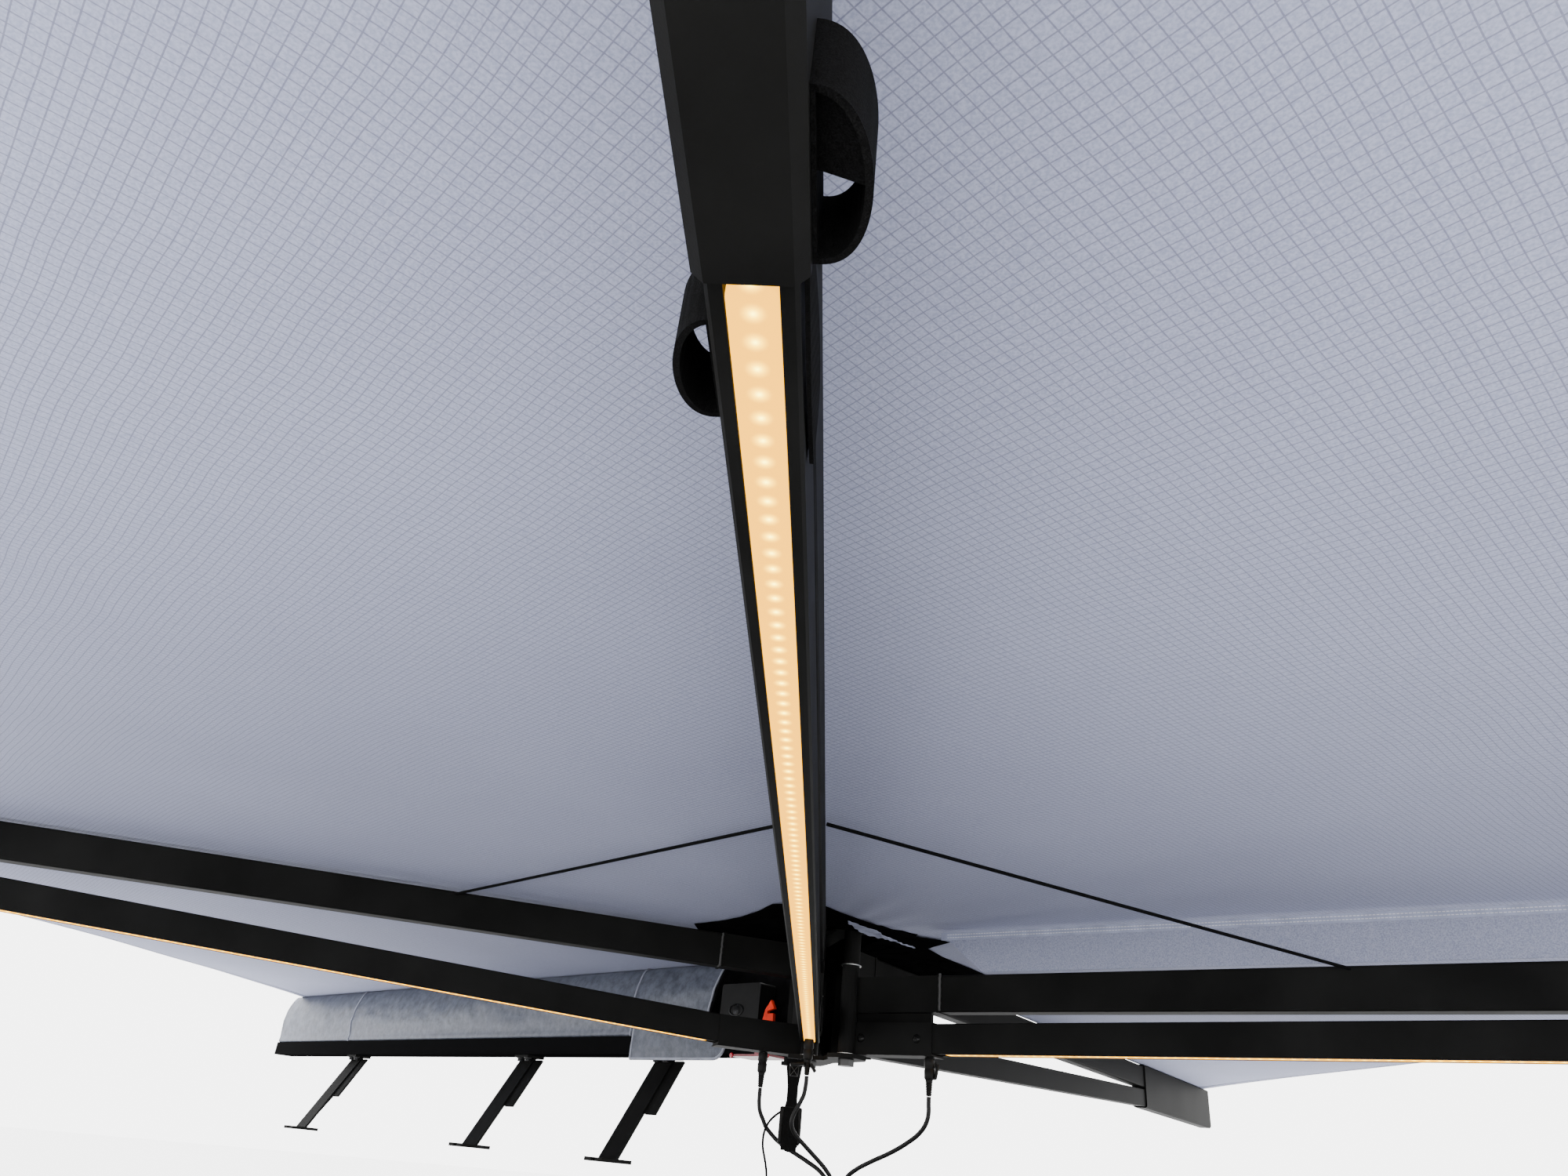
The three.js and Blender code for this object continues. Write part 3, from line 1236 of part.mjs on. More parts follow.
// A closed tube through points, its rings square to the run, turned by the least from one to the next.
function tubeThrough(points, radius, sides) {
  const positions = [];
  const index = [];
  let normal = new THREE.Vector3(0, 1, 0);
  points.forEach((p, i) => {
    const before = points[Math.max(i - 1, 0)];
    const after = points[Math.min(i + 1, points.length - 1)];
    const along = after.clone().sub(before).normalize();
    normal = normal.clone().sub(along.clone().multiplyScalar(normal.dot(along))).normalize();
    const across = along.clone().cross(normal);
    for (let k = 0; k < sides; k += 1) {
      const a = (2 * Math.PI * k) / sides;
      const q = p
        .clone()
        .addScaledVector(normal, radius * Math.cos(a))
        .addScaledVector(across, radius * Math.sin(a));
      positions.push(q.x, q.y, q.z);
    }
  });
  for (let i = 0; i < points.length - 1; i += 1) {
    for (let k = 0; k < sides; k += 1) {
      const a = i * sides + k;
      const b = i * sides + ((k + 1) % sides);
      index.push(a, b, a + sides, b, b + sides, a + sides);
    }
  }
  const last = (points.length - 1) * sides;
  for (let k = 1; k < sides - 1; k += 1) {
    index.push(0, k + 1, k);
    index.push(last, last + k, last + k + 1);
  }
  const geometry = new THREE.BufferGeometry();
  geometry.setAttribute("position", new THREE.Float32BufferAttribute(positions, 3));
  geometry.setIndex(index);
  return geometry;
}

// The least gap between two stretches of a tube that lie over half a turn apart.
function leastGap(points, diameter) {
  let least = Infinity;
  for (let i = 0; i < points.length; i += 1) {
    for (let j = i + COIL_STEPS / 2; j < points.length; j += 1) {
      least = Math.min(least, points[i].distanceTo(points[j]));
    }
  }
  return least - diameter;
}

function powerPlug(x, y, top) {
  const shape = roundedOutline(POWER_PLUG_WIDTH, POWER_PLUG_LENGTH, POWER_PLUG_DEPTH / 5);
  return alongMinusY(extrude(shape, POWER_PLUG_DEPTH)).translate(x, y + POWER_PLUG_DEPTH / 2, top - POWER_PLUG_LENGTH / 2);
}

function buildLeads() {
  for (const arm of ARMS.filter((a) => a.lit)) {
    const name = `light_lead_${arm.number}`;
    const start = leadStart(arm);
    LEAD_ROUTES[name][0] = start;
    LEAD_ROUTES[name][1] = [start[0], start[1], start[2] - 2 * LEAD_DIAMETER];
    addMesh(rootGroup, name, leadTube(name), ROUGH_BLACK);
  }
  addMesh(rootGroup, "lead_splitter", splitterBody(), ROUGH_BLACK);
  const points = powerLeadPoints();
  const group = new THREE.Group();
  group.position.set(SPLITTER.x, SPLITTER.y, 0);
  group.rotation.z = radians(SPLITTER.turn);
  rootGroup.add(group);
  addMesh(group, "power_lead_coil", tubeThrough(points, LEAD_DIAMETER / 2, COIL_SIDES), ROUGH_BLACK);
  const end = points[points.length - 1];
  addMesh(group, "power_plug", powerPlug(end.x, end.y, end.z - FIT_GAP), ROUGH_BLACK);
  console.log(`least gap of the power lead to itself ${leastGap(points, LEAD_DIAMETER).toFixed(2)} mm`);
}

buildHub();
buildRail();
buildLatch();
buildCanopy();
buildShockCords();
buildLeads();

// The part's own zero is the middle of the first mounting foot's face.
part.position.set(-LEG_XS[0], -FOOT_CENTRE_Y, -FOOT_FACE);

export default part;
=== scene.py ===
import json
import math

import bmesh
import bpy
from mathutils import Matrix, Vector, noise


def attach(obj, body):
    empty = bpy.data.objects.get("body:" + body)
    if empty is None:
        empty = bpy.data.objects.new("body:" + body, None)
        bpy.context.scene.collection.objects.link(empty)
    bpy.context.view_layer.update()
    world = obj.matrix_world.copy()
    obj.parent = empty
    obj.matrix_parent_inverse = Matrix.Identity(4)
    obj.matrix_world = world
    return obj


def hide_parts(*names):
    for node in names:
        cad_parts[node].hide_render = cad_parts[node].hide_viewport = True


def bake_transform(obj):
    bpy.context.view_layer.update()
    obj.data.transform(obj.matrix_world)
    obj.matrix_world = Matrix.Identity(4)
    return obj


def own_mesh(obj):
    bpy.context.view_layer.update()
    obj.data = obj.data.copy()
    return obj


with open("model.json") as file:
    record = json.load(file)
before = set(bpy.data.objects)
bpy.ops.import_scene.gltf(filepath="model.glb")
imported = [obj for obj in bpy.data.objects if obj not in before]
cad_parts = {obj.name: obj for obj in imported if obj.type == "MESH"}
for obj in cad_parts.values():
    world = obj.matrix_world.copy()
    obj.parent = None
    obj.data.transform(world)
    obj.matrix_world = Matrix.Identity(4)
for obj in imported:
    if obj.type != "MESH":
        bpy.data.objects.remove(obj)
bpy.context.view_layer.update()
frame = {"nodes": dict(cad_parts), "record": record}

NODES = frame["nodes"]
UP = Vector((0, 0, 1))
MM = 1 / 1000

# The hub frame's zero in the row frame: the inner pin's axis at the lower hub plate's top.
HUB_ZERO = Vector((0.450, 0.008, 0.170))
INNER_PIN = Vector((0, 0))
OUTER_PIN = Vector((0.092, -0.018))

# Each arm: its pin, its bearing in degrees, and how far its beams stand to the pin's left.
ARMS = {
    1: (INNER_PIN, 242, -0.038),
    2: (INNER_PIN, 312, 0.0),
    3: (OUTER_PIN, 368, 0.020),
    4: (OUTER_PIN, 460, 0.058),
}
ARM_REACH = 2.130
SLEEVE_START = 1.540
SLEEVE_HALF = 0.0184

# Camera: beside and below the hub, looking up at it, rolled a little.
CAMERA_PLACE = Vector((1.2155, -1.2906, -0.1623)) + HUB_ZERO
CAMERA_HEADING = math.radians(136.89)
CAMERA_PITCH = math.radians(28.90)
CAMERA_ROLL = math.radians(5.85)
CAMERA_LENS = 24.3
CAMERA_NEAR = 0.02
CAMERA_FAR = 100
SENSOR_WIDTH = 36.0


def add_camera():
    level = math.cos(CAMERA_PITCH)
    heading = Vector((math.cos(CAMERA_HEADING), math.sin(CAMERA_HEADING), 0))
    forward = heading * level + UP * math.sin(CAMERA_PITCH)
    level_right = Vector((heading.y, -heading.x, 0))
    level_up = level_right.cross(forward)
    right = level_right * math.cos(CAMERA_ROLL) + level_up * math.sin(CAMERA_ROLL)
    up = level_up * math.cos(CAMERA_ROLL) - level_right * math.sin(CAMERA_ROLL)
    data = bpy.data.cameras.new("camera")
    data.sensor_width = SENSOR_WIDTH
    data.lens = CAMERA_LENS
    data.clip_start = CAMERA_NEAR
    data.clip_end = CAMERA_FAR
    camera = bpy.data.objects.new("camera", data)
    turn = Matrix((right, up, -forward)).transposed().to_4x4()
    camera.matrix_world = Matrix.Translation(CAMERA_PLACE) @ turn
    bpy.context.collection.objects.link(camera)
    bpy.context.scene.camera = camera


# Materials


class Nodes:
    """A short way to build a node tree: add a node, set its values, link sockets."""

    def __init__(self, material):
        self.tree = material.node_tree
        self.shader = self.tree.nodes["Principled BSDF"]

    def add(self, kind, inputs=None, **settings):
        node = self.tree.nodes.new("ShaderNode" + kind)
        for name, value in settings.items():
            setattr(node, name, value)
        for name, value in (inputs or {}).items():
            socket = node.inputs[name]
            if isinstance(value, bpy.types.NodeSocket):
                self.tree.links.new(value, socket)
            else:
                socket.default_value = value
        return node

    def link(self, output, name):
        self.tree.links.new(output, self.shader.inputs[name])

    def place(self):
        return self.add("NewGeometry").outputs["Position"]

    def object_place(self):
        return self.add("TexCoord").outputs["Object"]

    def noise(self, where, scale, detail=2.0, **more):
        inputs = {"Vector": where, "Scale": scale, "Detail": detail, **more}
        return self.add("TexNoise", inputs).outputs["Fac"]

    def ramp(self, factor, stops):
        node = self.add("ValToRGB", {"Fac": factor})
        elements = node.color_ramp.elements
        while len(elements) < len(stops):
            elements.new(0.5)
        for element, (position, color) in zip(elements, stops):
            element.position = position
            element.color = (*color, 1)
        return node.outputs["Color"]

    def tint(self, factor, *stops):
        self.link(self.ramp(factor, stops), "Base Color")

    def range(self, value, low, high, name="Roughness"):
        node = self.add("MapRange", {"Value": value, "To Min": low, "To Max": high})
        self.link(node.outputs["Result"], name)

    def math(self, operation, a, b=0.0, clamp=False):
        return self.add("Math", {0: a, 1: b}, operation=operation, use_clamp=clamp).outputs[0]

    def plus(self, a, b):
        return self.math("ADD", a, b)

    def minus(self, a, b):
        return self.math("SUBTRACT", a, b)

    def times(self, a, b):
        return self.math("MULTIPLY", a, b)

    def turned(self, x, y, angle):
        """The coordinates x and y, read in a frame turned by an angle."""
        c, s = math.cos(angle), math.sin(angle)
        along = self.plus(self.times(x, c), self.times(y, s))
        return along, self.minus(self.times(y, c), self.times(x, s))

    def bump(self, height, strength, distance):
        node = self.add("Bump", {"Height": height, "Strength": strength, "Distance": distance})
        self.link(node.outputs["Normal"], "Normal")


def new_material(name, color, roughness, metallic=0.0, shine=0.5):
    material = bpy.data.materials.new(name)
    material.use_nodes = True
    nodes = Nodes(material)
    values = {"Roughness": roughness, "Metallic": metallic, "Specular IOR Level": shine}
    nodes.shader.inputs["Base Color"].default_value = (*color, 1)
    for socket, value in values.items():
        nodes.shader.inputs[socket].default_value = value
    return material, nodes


def powder_coat():
    """Satin black powder coat with a fine orange peel."""
    material, nodes = new_material("powder_coat", (0.006, 0.006, 0.0058), 0.5, shine=0.015)
    where = nodes.object_place()
    cloud = nodes.noise(where, 9.0, 4.0)
    nodes.tint(cloud, (0.3, (0.0052, 0.0052, 0.005)), (0.75, (0.0105, 0.0105, 0.010)))
    nodes.range(cloud, 0.44, 0.6)
    nodes.bump(nodes.noise(where, 900.0), 0.12, 0.0004)
    return material


def rail_finish():
    """Black anodised extrusion, with faint drawn lines along it."""
    material, nodes = new_material("rail_finish", (0.005, 0.005, 0.0052), 0.5, shine=0.0)
    stretch = nodes.add("Mapping", {"Vector": nodes.object_place(), "Scale": (2.0, 260.0, 260.0)})
    lines = nodes.noise(stretch.outputs["Vector"], 4.0, 3.0)
    nodes.range(lines, 0.42, 0.6)
    nodes.bump(lines, 0.06, 0.0002)
    return material


def zinc_steel():
    material, nodes = new_material("zinc_steel", (0.55, 0.55, 0.53), 0.3, 1.0)
    cloud = nodes.noise(nodes.object_place(), 140.0, 5.0)
    nodes.tint(cloud, (0.3, (0.42, 0.42, 0.41)), (0.7, (0.66, 0.66, 0.63)))
    nodes.range(cloud, 0.22, 0.42)
    return material


def moulded_plastic(name, color, roughness, scale=1500.0, shine=0.5):
    material, nodes = new_material(name, color, roughness, shine=shine)
    where = nodes.object_place()
    cloud = nodes.noise(where, 60.0, 3.0)
    nodes.tint(cloud, (0.3, [c * 0.82 for c in color]), (0.72, [c * 1.15 for c in color]))
    nodes.range(cloud, roughness * 0.85, roughness * 1.15)
    nodes.bump(nodes.noise(where, scale), 0.15, 0.0002)
    return material


def rubber_jacket():
    material, nodes = new_material("rubber_jacket", (0.006, 0.006, 0.006), 0.5, shine=0.15)
    cloud = nodes.noise(nodes.object_place(), 300.0, 3.0)
    nodes.range(cloud, 0.42, 0.62)
    nodes.bump(cloud, 0.1, 0.0002)
    return material


CLOTH_TURN = math.radians(87)
GRID_CELL = 0.0060
GRID_LINE_SHARE = 0.048
GRID_WOBBLE = 0.012


def grid_lines(nodes, u, v):
    """1 on the lines of a square grid over two coordinates, 0 between them."""
    parts = []
    for value in (u, v):
        share = nodes.math("FRACT", nodes.math("DIVIDE", value, GRID_CELL))
        off = nodes.math("ABSOLUTE", nodes.minus(share, 0.5))
        parts.append(nodes.math("GREATER_THAN", off, 0.5 - GRID_LINE_SHARE))
    return nodes.math("MAXIMUM", *parts)


def ripstop(name, painted_shade=1.0, grid=0.6):
    """Lavender-grey ripstop: a fine weave with a grid of thin darker threads. The shade factor darkens the
    whole cloth: painted shade for its darker copies.
    """
    material, nodes = new_material(name, (0.35, 0.38, 0.53), 0.8, shine=0.2)
    where = nodes.place()
    split = nodes.add("SeparateXYZ", {"Vector": where}).outputs
    shift = nodes.times(nodes.minus(nodes.noise(where, 6.0), 0.5), GRID_WOBBLE)
    u, v = nodes.turned(split["X"], split["Y"], CLOTH_TURN)
    lines = grid_lines(nodes, nodes.plus(u, shift), nodes.minus(v, shift))
    light = [c * painted_shade for c in (0.41, 0.44, 0.61)]
    dark = [c * painted_shade for c in (0.35, 0.375, 0.53)]
    tone = nodes.ramp(nodes.noise(where, 2.2, 5.0), ((0.3, dark), (0.72, light)))
    speck = nodes.ramp(nodes.noise(where, 700.0), ((0.35, (0, 0, 0)), (0.65, (1, 1, 1))))
    grain = nodes.add("MixRGB", {"Fac": 0.10, "Color1": tone, "Color2": speck}).outputs["Color"]
    thread = (0.13, 0.13, 0.20, 1)
    mixed = nodes.add("MixRGB", {"Fac": nodes.times(lines, grid), "Color1": grain, "Color2": thread})
    nodes.link(mixed.outputs["Color"], "Base Color")
    ripple = nodes.noise(where, 34.0, 4.0)
    nodes.bump(nodes.plus(nodes.times(lines, 0.35 * grid), ripple), 0.28, 0.002)
    return material


def coated_cloth():
    """Grey coated cloth of the cover, mottled by its embossed weave."""
    material, nodes = new_material("coated_cloth", (0.16, 0.17, 0.21), 0.5, shine=0.3)
    where = nodes.object_place()
    mottle = nodes.noise(where, 55.0, 8.0, Roughness=0.7)
    weave = nodes.add("TexVoronoi", {"Vector": where, "Scale": 900.0}).outputs["Distance"]
    creases = nodes.noise(where, 16.0, 6.0, Distortion=1.4)
    nodes.tint(mottle, (0.36, (0.042, 0.048, 0.064)), (0.64, (0.105, 0.116, 0.150)))
    nodes.range(mottle, 0.38, 0.62)
    nodes.bump(nodes.plus(nodes.times(weave, 0.2), creases), 0.35, 0.004)
    return material


WEB_RIB = 0.0022
ELASTIC_RIB = 0.0012


def webbing(name, rib):
    """Black woven webbing, with ribs across it."""
    material, nodes = new_material(name, (0.004, 0.004, 0.004), 0.9, shine=0.03)
    where = nodes.object_place()
    ribs = {"Vector": where, "Scale": 1.0 / rib / 6.0, "Distortion": 1.5, "Detail": 2.0}
    wave = nodes.add("TexWave", ribs).outputs["Fac"]
    speck = nodes.noise(where, 1800.0)
    nodes.tint(speck, (0.35, (0.002, 0.002, 0.002)), (0.7, (0.007, 0.007, 0.007)))
    nodes.bump(nodes.plus(wave, speck), 0.4, 0.0006)
    return material


def dark_lining():
    """Black cloth of the hub's cover, slightly creased, with painted shade in its creases."""
    material, nodes = new_material("dark_lining", (0.004, 0.004, 0.004), 0.9, shine=0.0)
    creases = nodes.noise(nodes.object_place(), 24.0, 6.0, Distortion=1.0)
    # The tint follows the crease height: painted shade, darker in the crease troughs.
    nodes.tint(creases, (0.3, (0.0025, 0.0025, 0.0026)), (0.75, (0.006, 0.006, 0.0064)))
    nodes.bump(creases, 0.4, 0.004)
    return material


LIGHT_PITCH = 0.0125
LIGHT_PHASE = 0.0059
LIGHT_SPOT = 0.0050


def light_cover(name, arm):
    """The strip's milky cover: a row of light points glows through it."""
    pin, bearing, offset = ARMS[arm]
    material, nodes = new_material(name, (0.22, 0.11, 0.004), 0.6, shine=0.0)
    split = nodes.add("SeparateXYZ", {"Vector": nodes.place()}).outputs
    origin = HUB_ZERO.xy + pin
    dx = nodes.minus(split["X"], origin.x)
    dy = nodes.minus(split["Y"], origin.y)
    along, left = nodes.turned(dx, dy, math.radians(bearing))
    across = nodes.minus(left, offset)
    share = nodes.math("FRACT", nodes.math("DIVIDE", nodes.minus(along, LIGHT_PHASE), LIGHT_PITCH))
    near = nodes.times(nodes.minus(share, 0.5), LIGHT_PITCH)
    spot = nodes.math("SQRT", nodes.plus(nodes.times(near, near), nodes.times(across, across)))
    glow = nodes.math("SUBTRACT", 1.0, nodes.math("DIVIDE", spot, LIGHT_SPOT), clamp=True)
    soft = nodes.math("POWER", glow, 1.6)
    stops = ((0.0, (1.0, 0.43, 0.006)), (0.45, (1.0, 0.56, 0.012)), (1.0, (1.0, 0.86, 0.13)))
    nodes.link(nodes.ramp(soft, stops), "Emission Color")
    nodes.range(soft, 3.8, 11.0, "Emission Strength")
    return material


MATERIALS = {}


def make_materials():
    plastic = moulded_plastic
    MATERIALS.update(
        powder_black=powder_coat(),
        rail_black=rail_finish(),
        steel=zinc_steel(),
        black_plastic=plastic("black_plastic", (0.006, 0.006, 0.0058), 0.5, shine=0.08),
        orange_plastic=plastic("orange_plastic", (0.78, 0.028, 0.002), 0.4, shine=0.1),
        red_metal=plastic("red_metal", (0.2, 0.006, 0.014), 0.35),
        canopy_cloth=ripstop("ripstop"),
        # The hem copy is the same cloth a little darker: painted shade.
        canopy_hem=ripstop("ripstop_hem_painted_shade", 0.82),
        # The skirt copy is the same cloth at about half brightness: painted shade, also used on arm 4's
        # folded edge.
        skirt_cloth=ripstop("ripstop_skirt_painted_shade", 0.52, 0.0),
        spare_cloth=ripstop("ripstop_spare", 1.0, 0.0),
        seam_tape=plastic("seam_tape", (0.27, 0.29, 0.39), 0.8),
        piping=plastic("piping", (0.30, 0.315, 0.37), 0.7, 900.0, shine=0.2),
        thread=plastic("stitch_thread", (0.55, 0.56, 0.6), 0.7),
        dark_thread=plastic("dark_thread", (0.05, 0.05, 0.05), 0.8),
        steel_dark=plastic("blackened_steel", (0.02, 0.02, 0.02), 0.35, shine=0.25),
        gloss_black=plastic("gloss_black", (0.005, 0.005, 0.005), 0.25, shine=0.1),
        red_gloss=plastic("red_gloss", (0.45, 0.008, 0.02), 0.25),
        weld=plastic("weld_bead", (0.035, 0.035, 0.034), 0.6, 900.0, shine=0.4),
        elastic=webbing("elastic", ELASTIC_RIB),
        black_cloth=webbing("webbing", WEB_RIB),
        cover_cloth=coated_cloth(),
        lining=dark_lining(),
        lead_rubber=rubber_jacket(),
    )
    for arm in (1, 2, 3):
        MATERIALS[f"light_{arm}"] = light_cover(f"light_cover_{arm}", arm)


def dress_nodes():
    """Every CAD node that stays shown takes the full material of its slot."""
    for entry in frame["record"]["subparts"]:
        name, key = entry["node"], entry["material_slot"]
        if key == "light_diffuser":
            key = "light_" + name[len("arm_")]
        elif name == "hub_cover":
            key = "lining"
        elif name.startswith("pivot_pin"):
            key = "steel_dark"
        mesh = NODES[name].data
        mesh.materials.clear()
        mesh.materials.append(MATERIALS[key])


def show(mesh, material, body=None, replaces=None):
    """A mesh becomes a visible piece of its own name, riding on a body where one is given."""
    piece = bpy.data.objects.new(mesh.name, mesh)
    bpy.context.collection.objects.link(piece)
    mesh.materials.append(MATERIALS[material])
    if body:
        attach(piece, body)
    if replaces:
        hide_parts(replaces)
    return piece


# Places


def hub_point(x, y, z):
    """A point of the row frame, from millimetres in the hub frame."""
    return HUB_ZERO + Vector((x, y, z)) * MM


def arm_way(arm):
    a = math.radians(ARMS[arm][1])
    return Vector((math.cos(a), math.sin(a), 0))


def left_of(arm):
    way = arm_way(arm)
    return Vector((-way.y, way.x, 0))


def on_arm(arm, along, side, level):
    """A point of the row frame: along an arm, to its left, and above the lower hub plate."""
    pin, _, offset = ARMS[arm]
    return HUB_ZERO + pin.to_3d() + arm_way(arm) * along + left_of(arm) * (offset + side) + UP * level


def arm_strip(arm, start, end, side, levels, steps=60):
    """Rows of points along an arm, one row at each level."""
    way = (end - start) / steps
    return [[on_arm(arm, start + way * i, side, level) for i in range(steps + 1)] for level in levels]


FOLD_LEVEL = 0.17


def fold_with(piece, arm):
    """Gives a piece that hangs from a folding arm its own copy of its mesh."""
    anchor = on_arm(arm, ARM_REACH / 2, 0, FOLD_LEVEL)
    left_of(arm)
    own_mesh(piece)


# Meshes


def circle(count):
    """The cosine and sine of each of a number of even angles."""
    angles = [2 * math.pi * k / count for k in range(count)]
    return [(math.cos(a), math.sin(a)) for a in angles]


def rows_of(lines, columns, point):
    """Rows of points; point takes the shares of the way over the lines and along one line."""
    return [[point(i / lines, j / columns) for j in range(columns + 1)] for i in range(lines + 1)]


def smooth(mesh, angle):
    for face in mesh.polygons:
        face.use_smooth = True
    mesh.set_sharp_from_angle(angle=math.radians(angle))


def mesh_from(name, bm, angle):
    mesh = bpy.data.meshes.new(name)
    bmesh.ops.recalc_face_normals(bm, faces=list(bm.faces))
    bm.to_mesh(mesh)
    bm.free()
    smooth(mesh, angle)
    return mesh


def grid_faces(bm, rows, closed=False):
    """Quads between neighbouring rows of vertices."""
    for low, high in zip(rows, rows[1:]):
        count = len(low)
        for k in range(count if closed else count - 1):
            n = (k + 1) % count
            bm.faces.new((low[k], low[n], high[n], high[k]))


def ring_faces(bm, rings):
    """A tube's wall through its rings, and a face over each end."""
    grid_faces(bm, rings, closed=True)
    bm.faces.new(list(reversed(rings[0])))
    bm.faces.new(rings[-1])


def sheet_solid(name, rows, thickness, direction, angle=60):
    """A cloth from rows of points, with a second face behind it and walls round its edge.
    Gives its mesh and the flat area of one face."""
    bm = bmesh.new()
    front = [[bm.verts.new(p) for p in row] for row in rows]
    grid_faces(bm, front)
    area = sum(face.calc_area() for face in bm.faces)
    back = [[bm.verts.new(p + direction * thickness) for p in row] for row in rows]
    grid_faces(bm, back)
    for side in (0, -1):
        grid_faces(bm, [[row[side] for row in front], [row[side] for row in back]])
        grid_faces(bm, [front[side], back[side]])
    return mesh_from(name, bm, angle), area


def round_sheet(name, rows, thickness, capped):
    """A level cloth from closed rings of points, with its inner ring capped or left open."""
    bm = bmesh.new()
    front = [[bm.verts.new(p) for p in row] for row in rows]
    back = [[bm.verts.new(p + UP * thickness) for p in row] for row in rows]
    for face in (front, back):
        grid_faces(bm, face, closed=True)
        if capped:
            bm.faces.new(face[0])
    if not capped:
        grid_faces(bm, [front[0], back[0]], closed=True)
    grid_faces(bm, [front[-1], back[-1]], closed=True)
    return mesh_from(name, bm, 60)


def tube_mesh(name, points, radius, sides=10, closed=False):
    """A tube through points, its rings square to the run."""
    bm = bmesh.new()
    rings = []
    normal = Vector((0.31, 0.87, 0.2)).normalized()
    last = len(points) - 1
    for i, p in enumerate(points):
        before = points[i - 1] if closed or i else p
        after = points[(i + 1) % len(points)] if closed or i < last else p
        along = (after - before).normalized()
        normal = (normal - along * normal.dot(along)).normalized()
        across = along.cross(normal)
        rings.append([bm.verts.new(p + (normal * c + across * s) * radius) for c, s in circle(sides)])
    if closed:
        grid_faces(bm, rings + rings[:1], closed=True)
    else:
        ring_faces(bm, rings)
    return mesh_from(name, bm, 50)


def lathe_mesh(name, profile, centre, axis=UP, sides=28, angle=35):
    """A turned body: profile is (radius, distance along the axis) in millimetres."""
    one = axis.orthogonal().normalized()
    two = axis.cross(one)
    bm = bmesh.new()
    rings = []
    for radius, along in profile:
        middle = centre + axis * along * MM
        rings.append([bm.verts.new(middle + (one * c + two * s) * radius * MM) for c, s in circle(sides)])
    ring_faces(bm, rings)
    return mesh_from(name, bm, angle)


def ribbon_mesh(name, points, widths, out, thickness):
    """A flat strap through points; each of them has its own width and its own way out of the flat."""
    bm = bmesh.new()
    rings = []
    for p, w, o in zip(points, widths, out):
        half, t = w / 2, o * thickness / 2
        rings.append([bm.verts.new(q) for q in (p - half - t, p + half - t, p + half + t, p - half + t)])
    ring_faces(bm, rings)
    return mesh_from(name, bm, 40)


def joined(name, meshes):
    """One mesh from several, which lie where they are."""
    bm = bmesh.new()
    for mesh in meshes:
        bm.from_mesh(mesh)
        bpy.data.meshes.remove(mesh)
    mesh = bpy.data.meshes.new(name)
    bm.to_mesh(mesh)
    bm.free()
    smooth(mesh, 40)
    return mesh


def block(name, size, corner, centre, turn, segments=3):
    """A block with rounded edges, its size and corner in millimetres."""
    bm = bmesh.new()
    bmesh.ops.create_cube(bm, size=1.0)
    for v in bm.verts:
        v.co *= Vector(size) * MM
    edges = list(bm.edges)
    bmesh.ops.bevel(bm, geom=edges, offset=corner * MM, segments=segments, profile=0.6, affect="EDGES")
    bmesh.ops.transform(bm, matrix=Matrix.Translation(centre) @ turn, verts=list(bm.verts))
    return mesh_from(name, bm, 30)


def turned_z(degrees):
    return Matrix.Rotation(math.radians(degrees), 4, "Z")


def spline_point(p0, p1, p2, p3, t):
    """Catmull-Rom between p1 and p2."""
    rise = (p2 - p0) * t
    curve = (2 * p0 - 5 * p1 + 4 * p2 - p3) * t ** 2
    return 0.5 * (2 * p1 + rise + curve + (3 * p1 - p0 - 3 * p2 + p3) * t ** 3)


def spline_points(points, each=6):
    """A smooth run through the points, with the same number of steps between each two."""
    out = []
    last = len(points) - 1
    for i in range(last):
        four = points[max(i - 1, 0)], points[i], points[i + 1], points[min(i + 2, last)]
        out += [spline_point(*four, k / each) for k in range(each)]
    out.append(points[-1].copy())
    return out


def path_length(points):
    return sum((b - a).length for a, b in zip(points, points[1:]))


# Canopy
CANOPY_LEVEL = HUB_ZERO.z + 0.1707
CLOTH_THICKNESS = 0.0012
CLOTH_LIFT = 0.0004
CLOTH_SAG = 0.030
CLOTH_RIPPLE = 0.006
CLOTH_FAN = 0.0011
SAG_FROM = 0.28  # of the way out from the hub, where the cloth starts to sag
EDGE_SAG_SHARE = 0.1
PANEL_ROWS = 40
PANEL_COLUMNS = 36
PANEL_INNER = 0.215
PANEL_INNER_1 = 0.192
PANEL_INNER_3 = 0.105
TIP_INSET = 0.012
HEM_WIDTH = 0.020
HEM_THICKNESS = 0.0010
HEM_DROP = 0.0012
RAIL_CLOTH_Y = HUB_ZERO.y + 0.100
RAIL_END_X = HUB_ZERO.x - 2.180


def arm_edge(arm, inner=PANEL_INNER):
    return on_arm(arm, inner, 0, 0).xy, on_arm(arm, ARM_REACH - TIP_INSET, 0, 0).xy


# How near the hub each panel's two sides start, so that the black centre has the outline of the photograph.
RAIL_EDGE = (
    Vector((HUB_ZERO.x - PANEL_INNER, RAIL_CLOTH_Y)),
    Vector((RAIL_END_X + TIP_INSET, RAIL_CLOTH_Y)),
)
PANELS = {
    1: (RAIL_EDGE, arm_edge(1, PANEL_INNER_1)),
    2: (arm_edge(1, PANEL_INNER_1), arm_edge(2)),
    3: (arm_edge(2), arm_edge(3, PANEL_INNER_3)),
    4: (arm_edge(3, PANEL_INNER_3), arm_edge(4)),
}


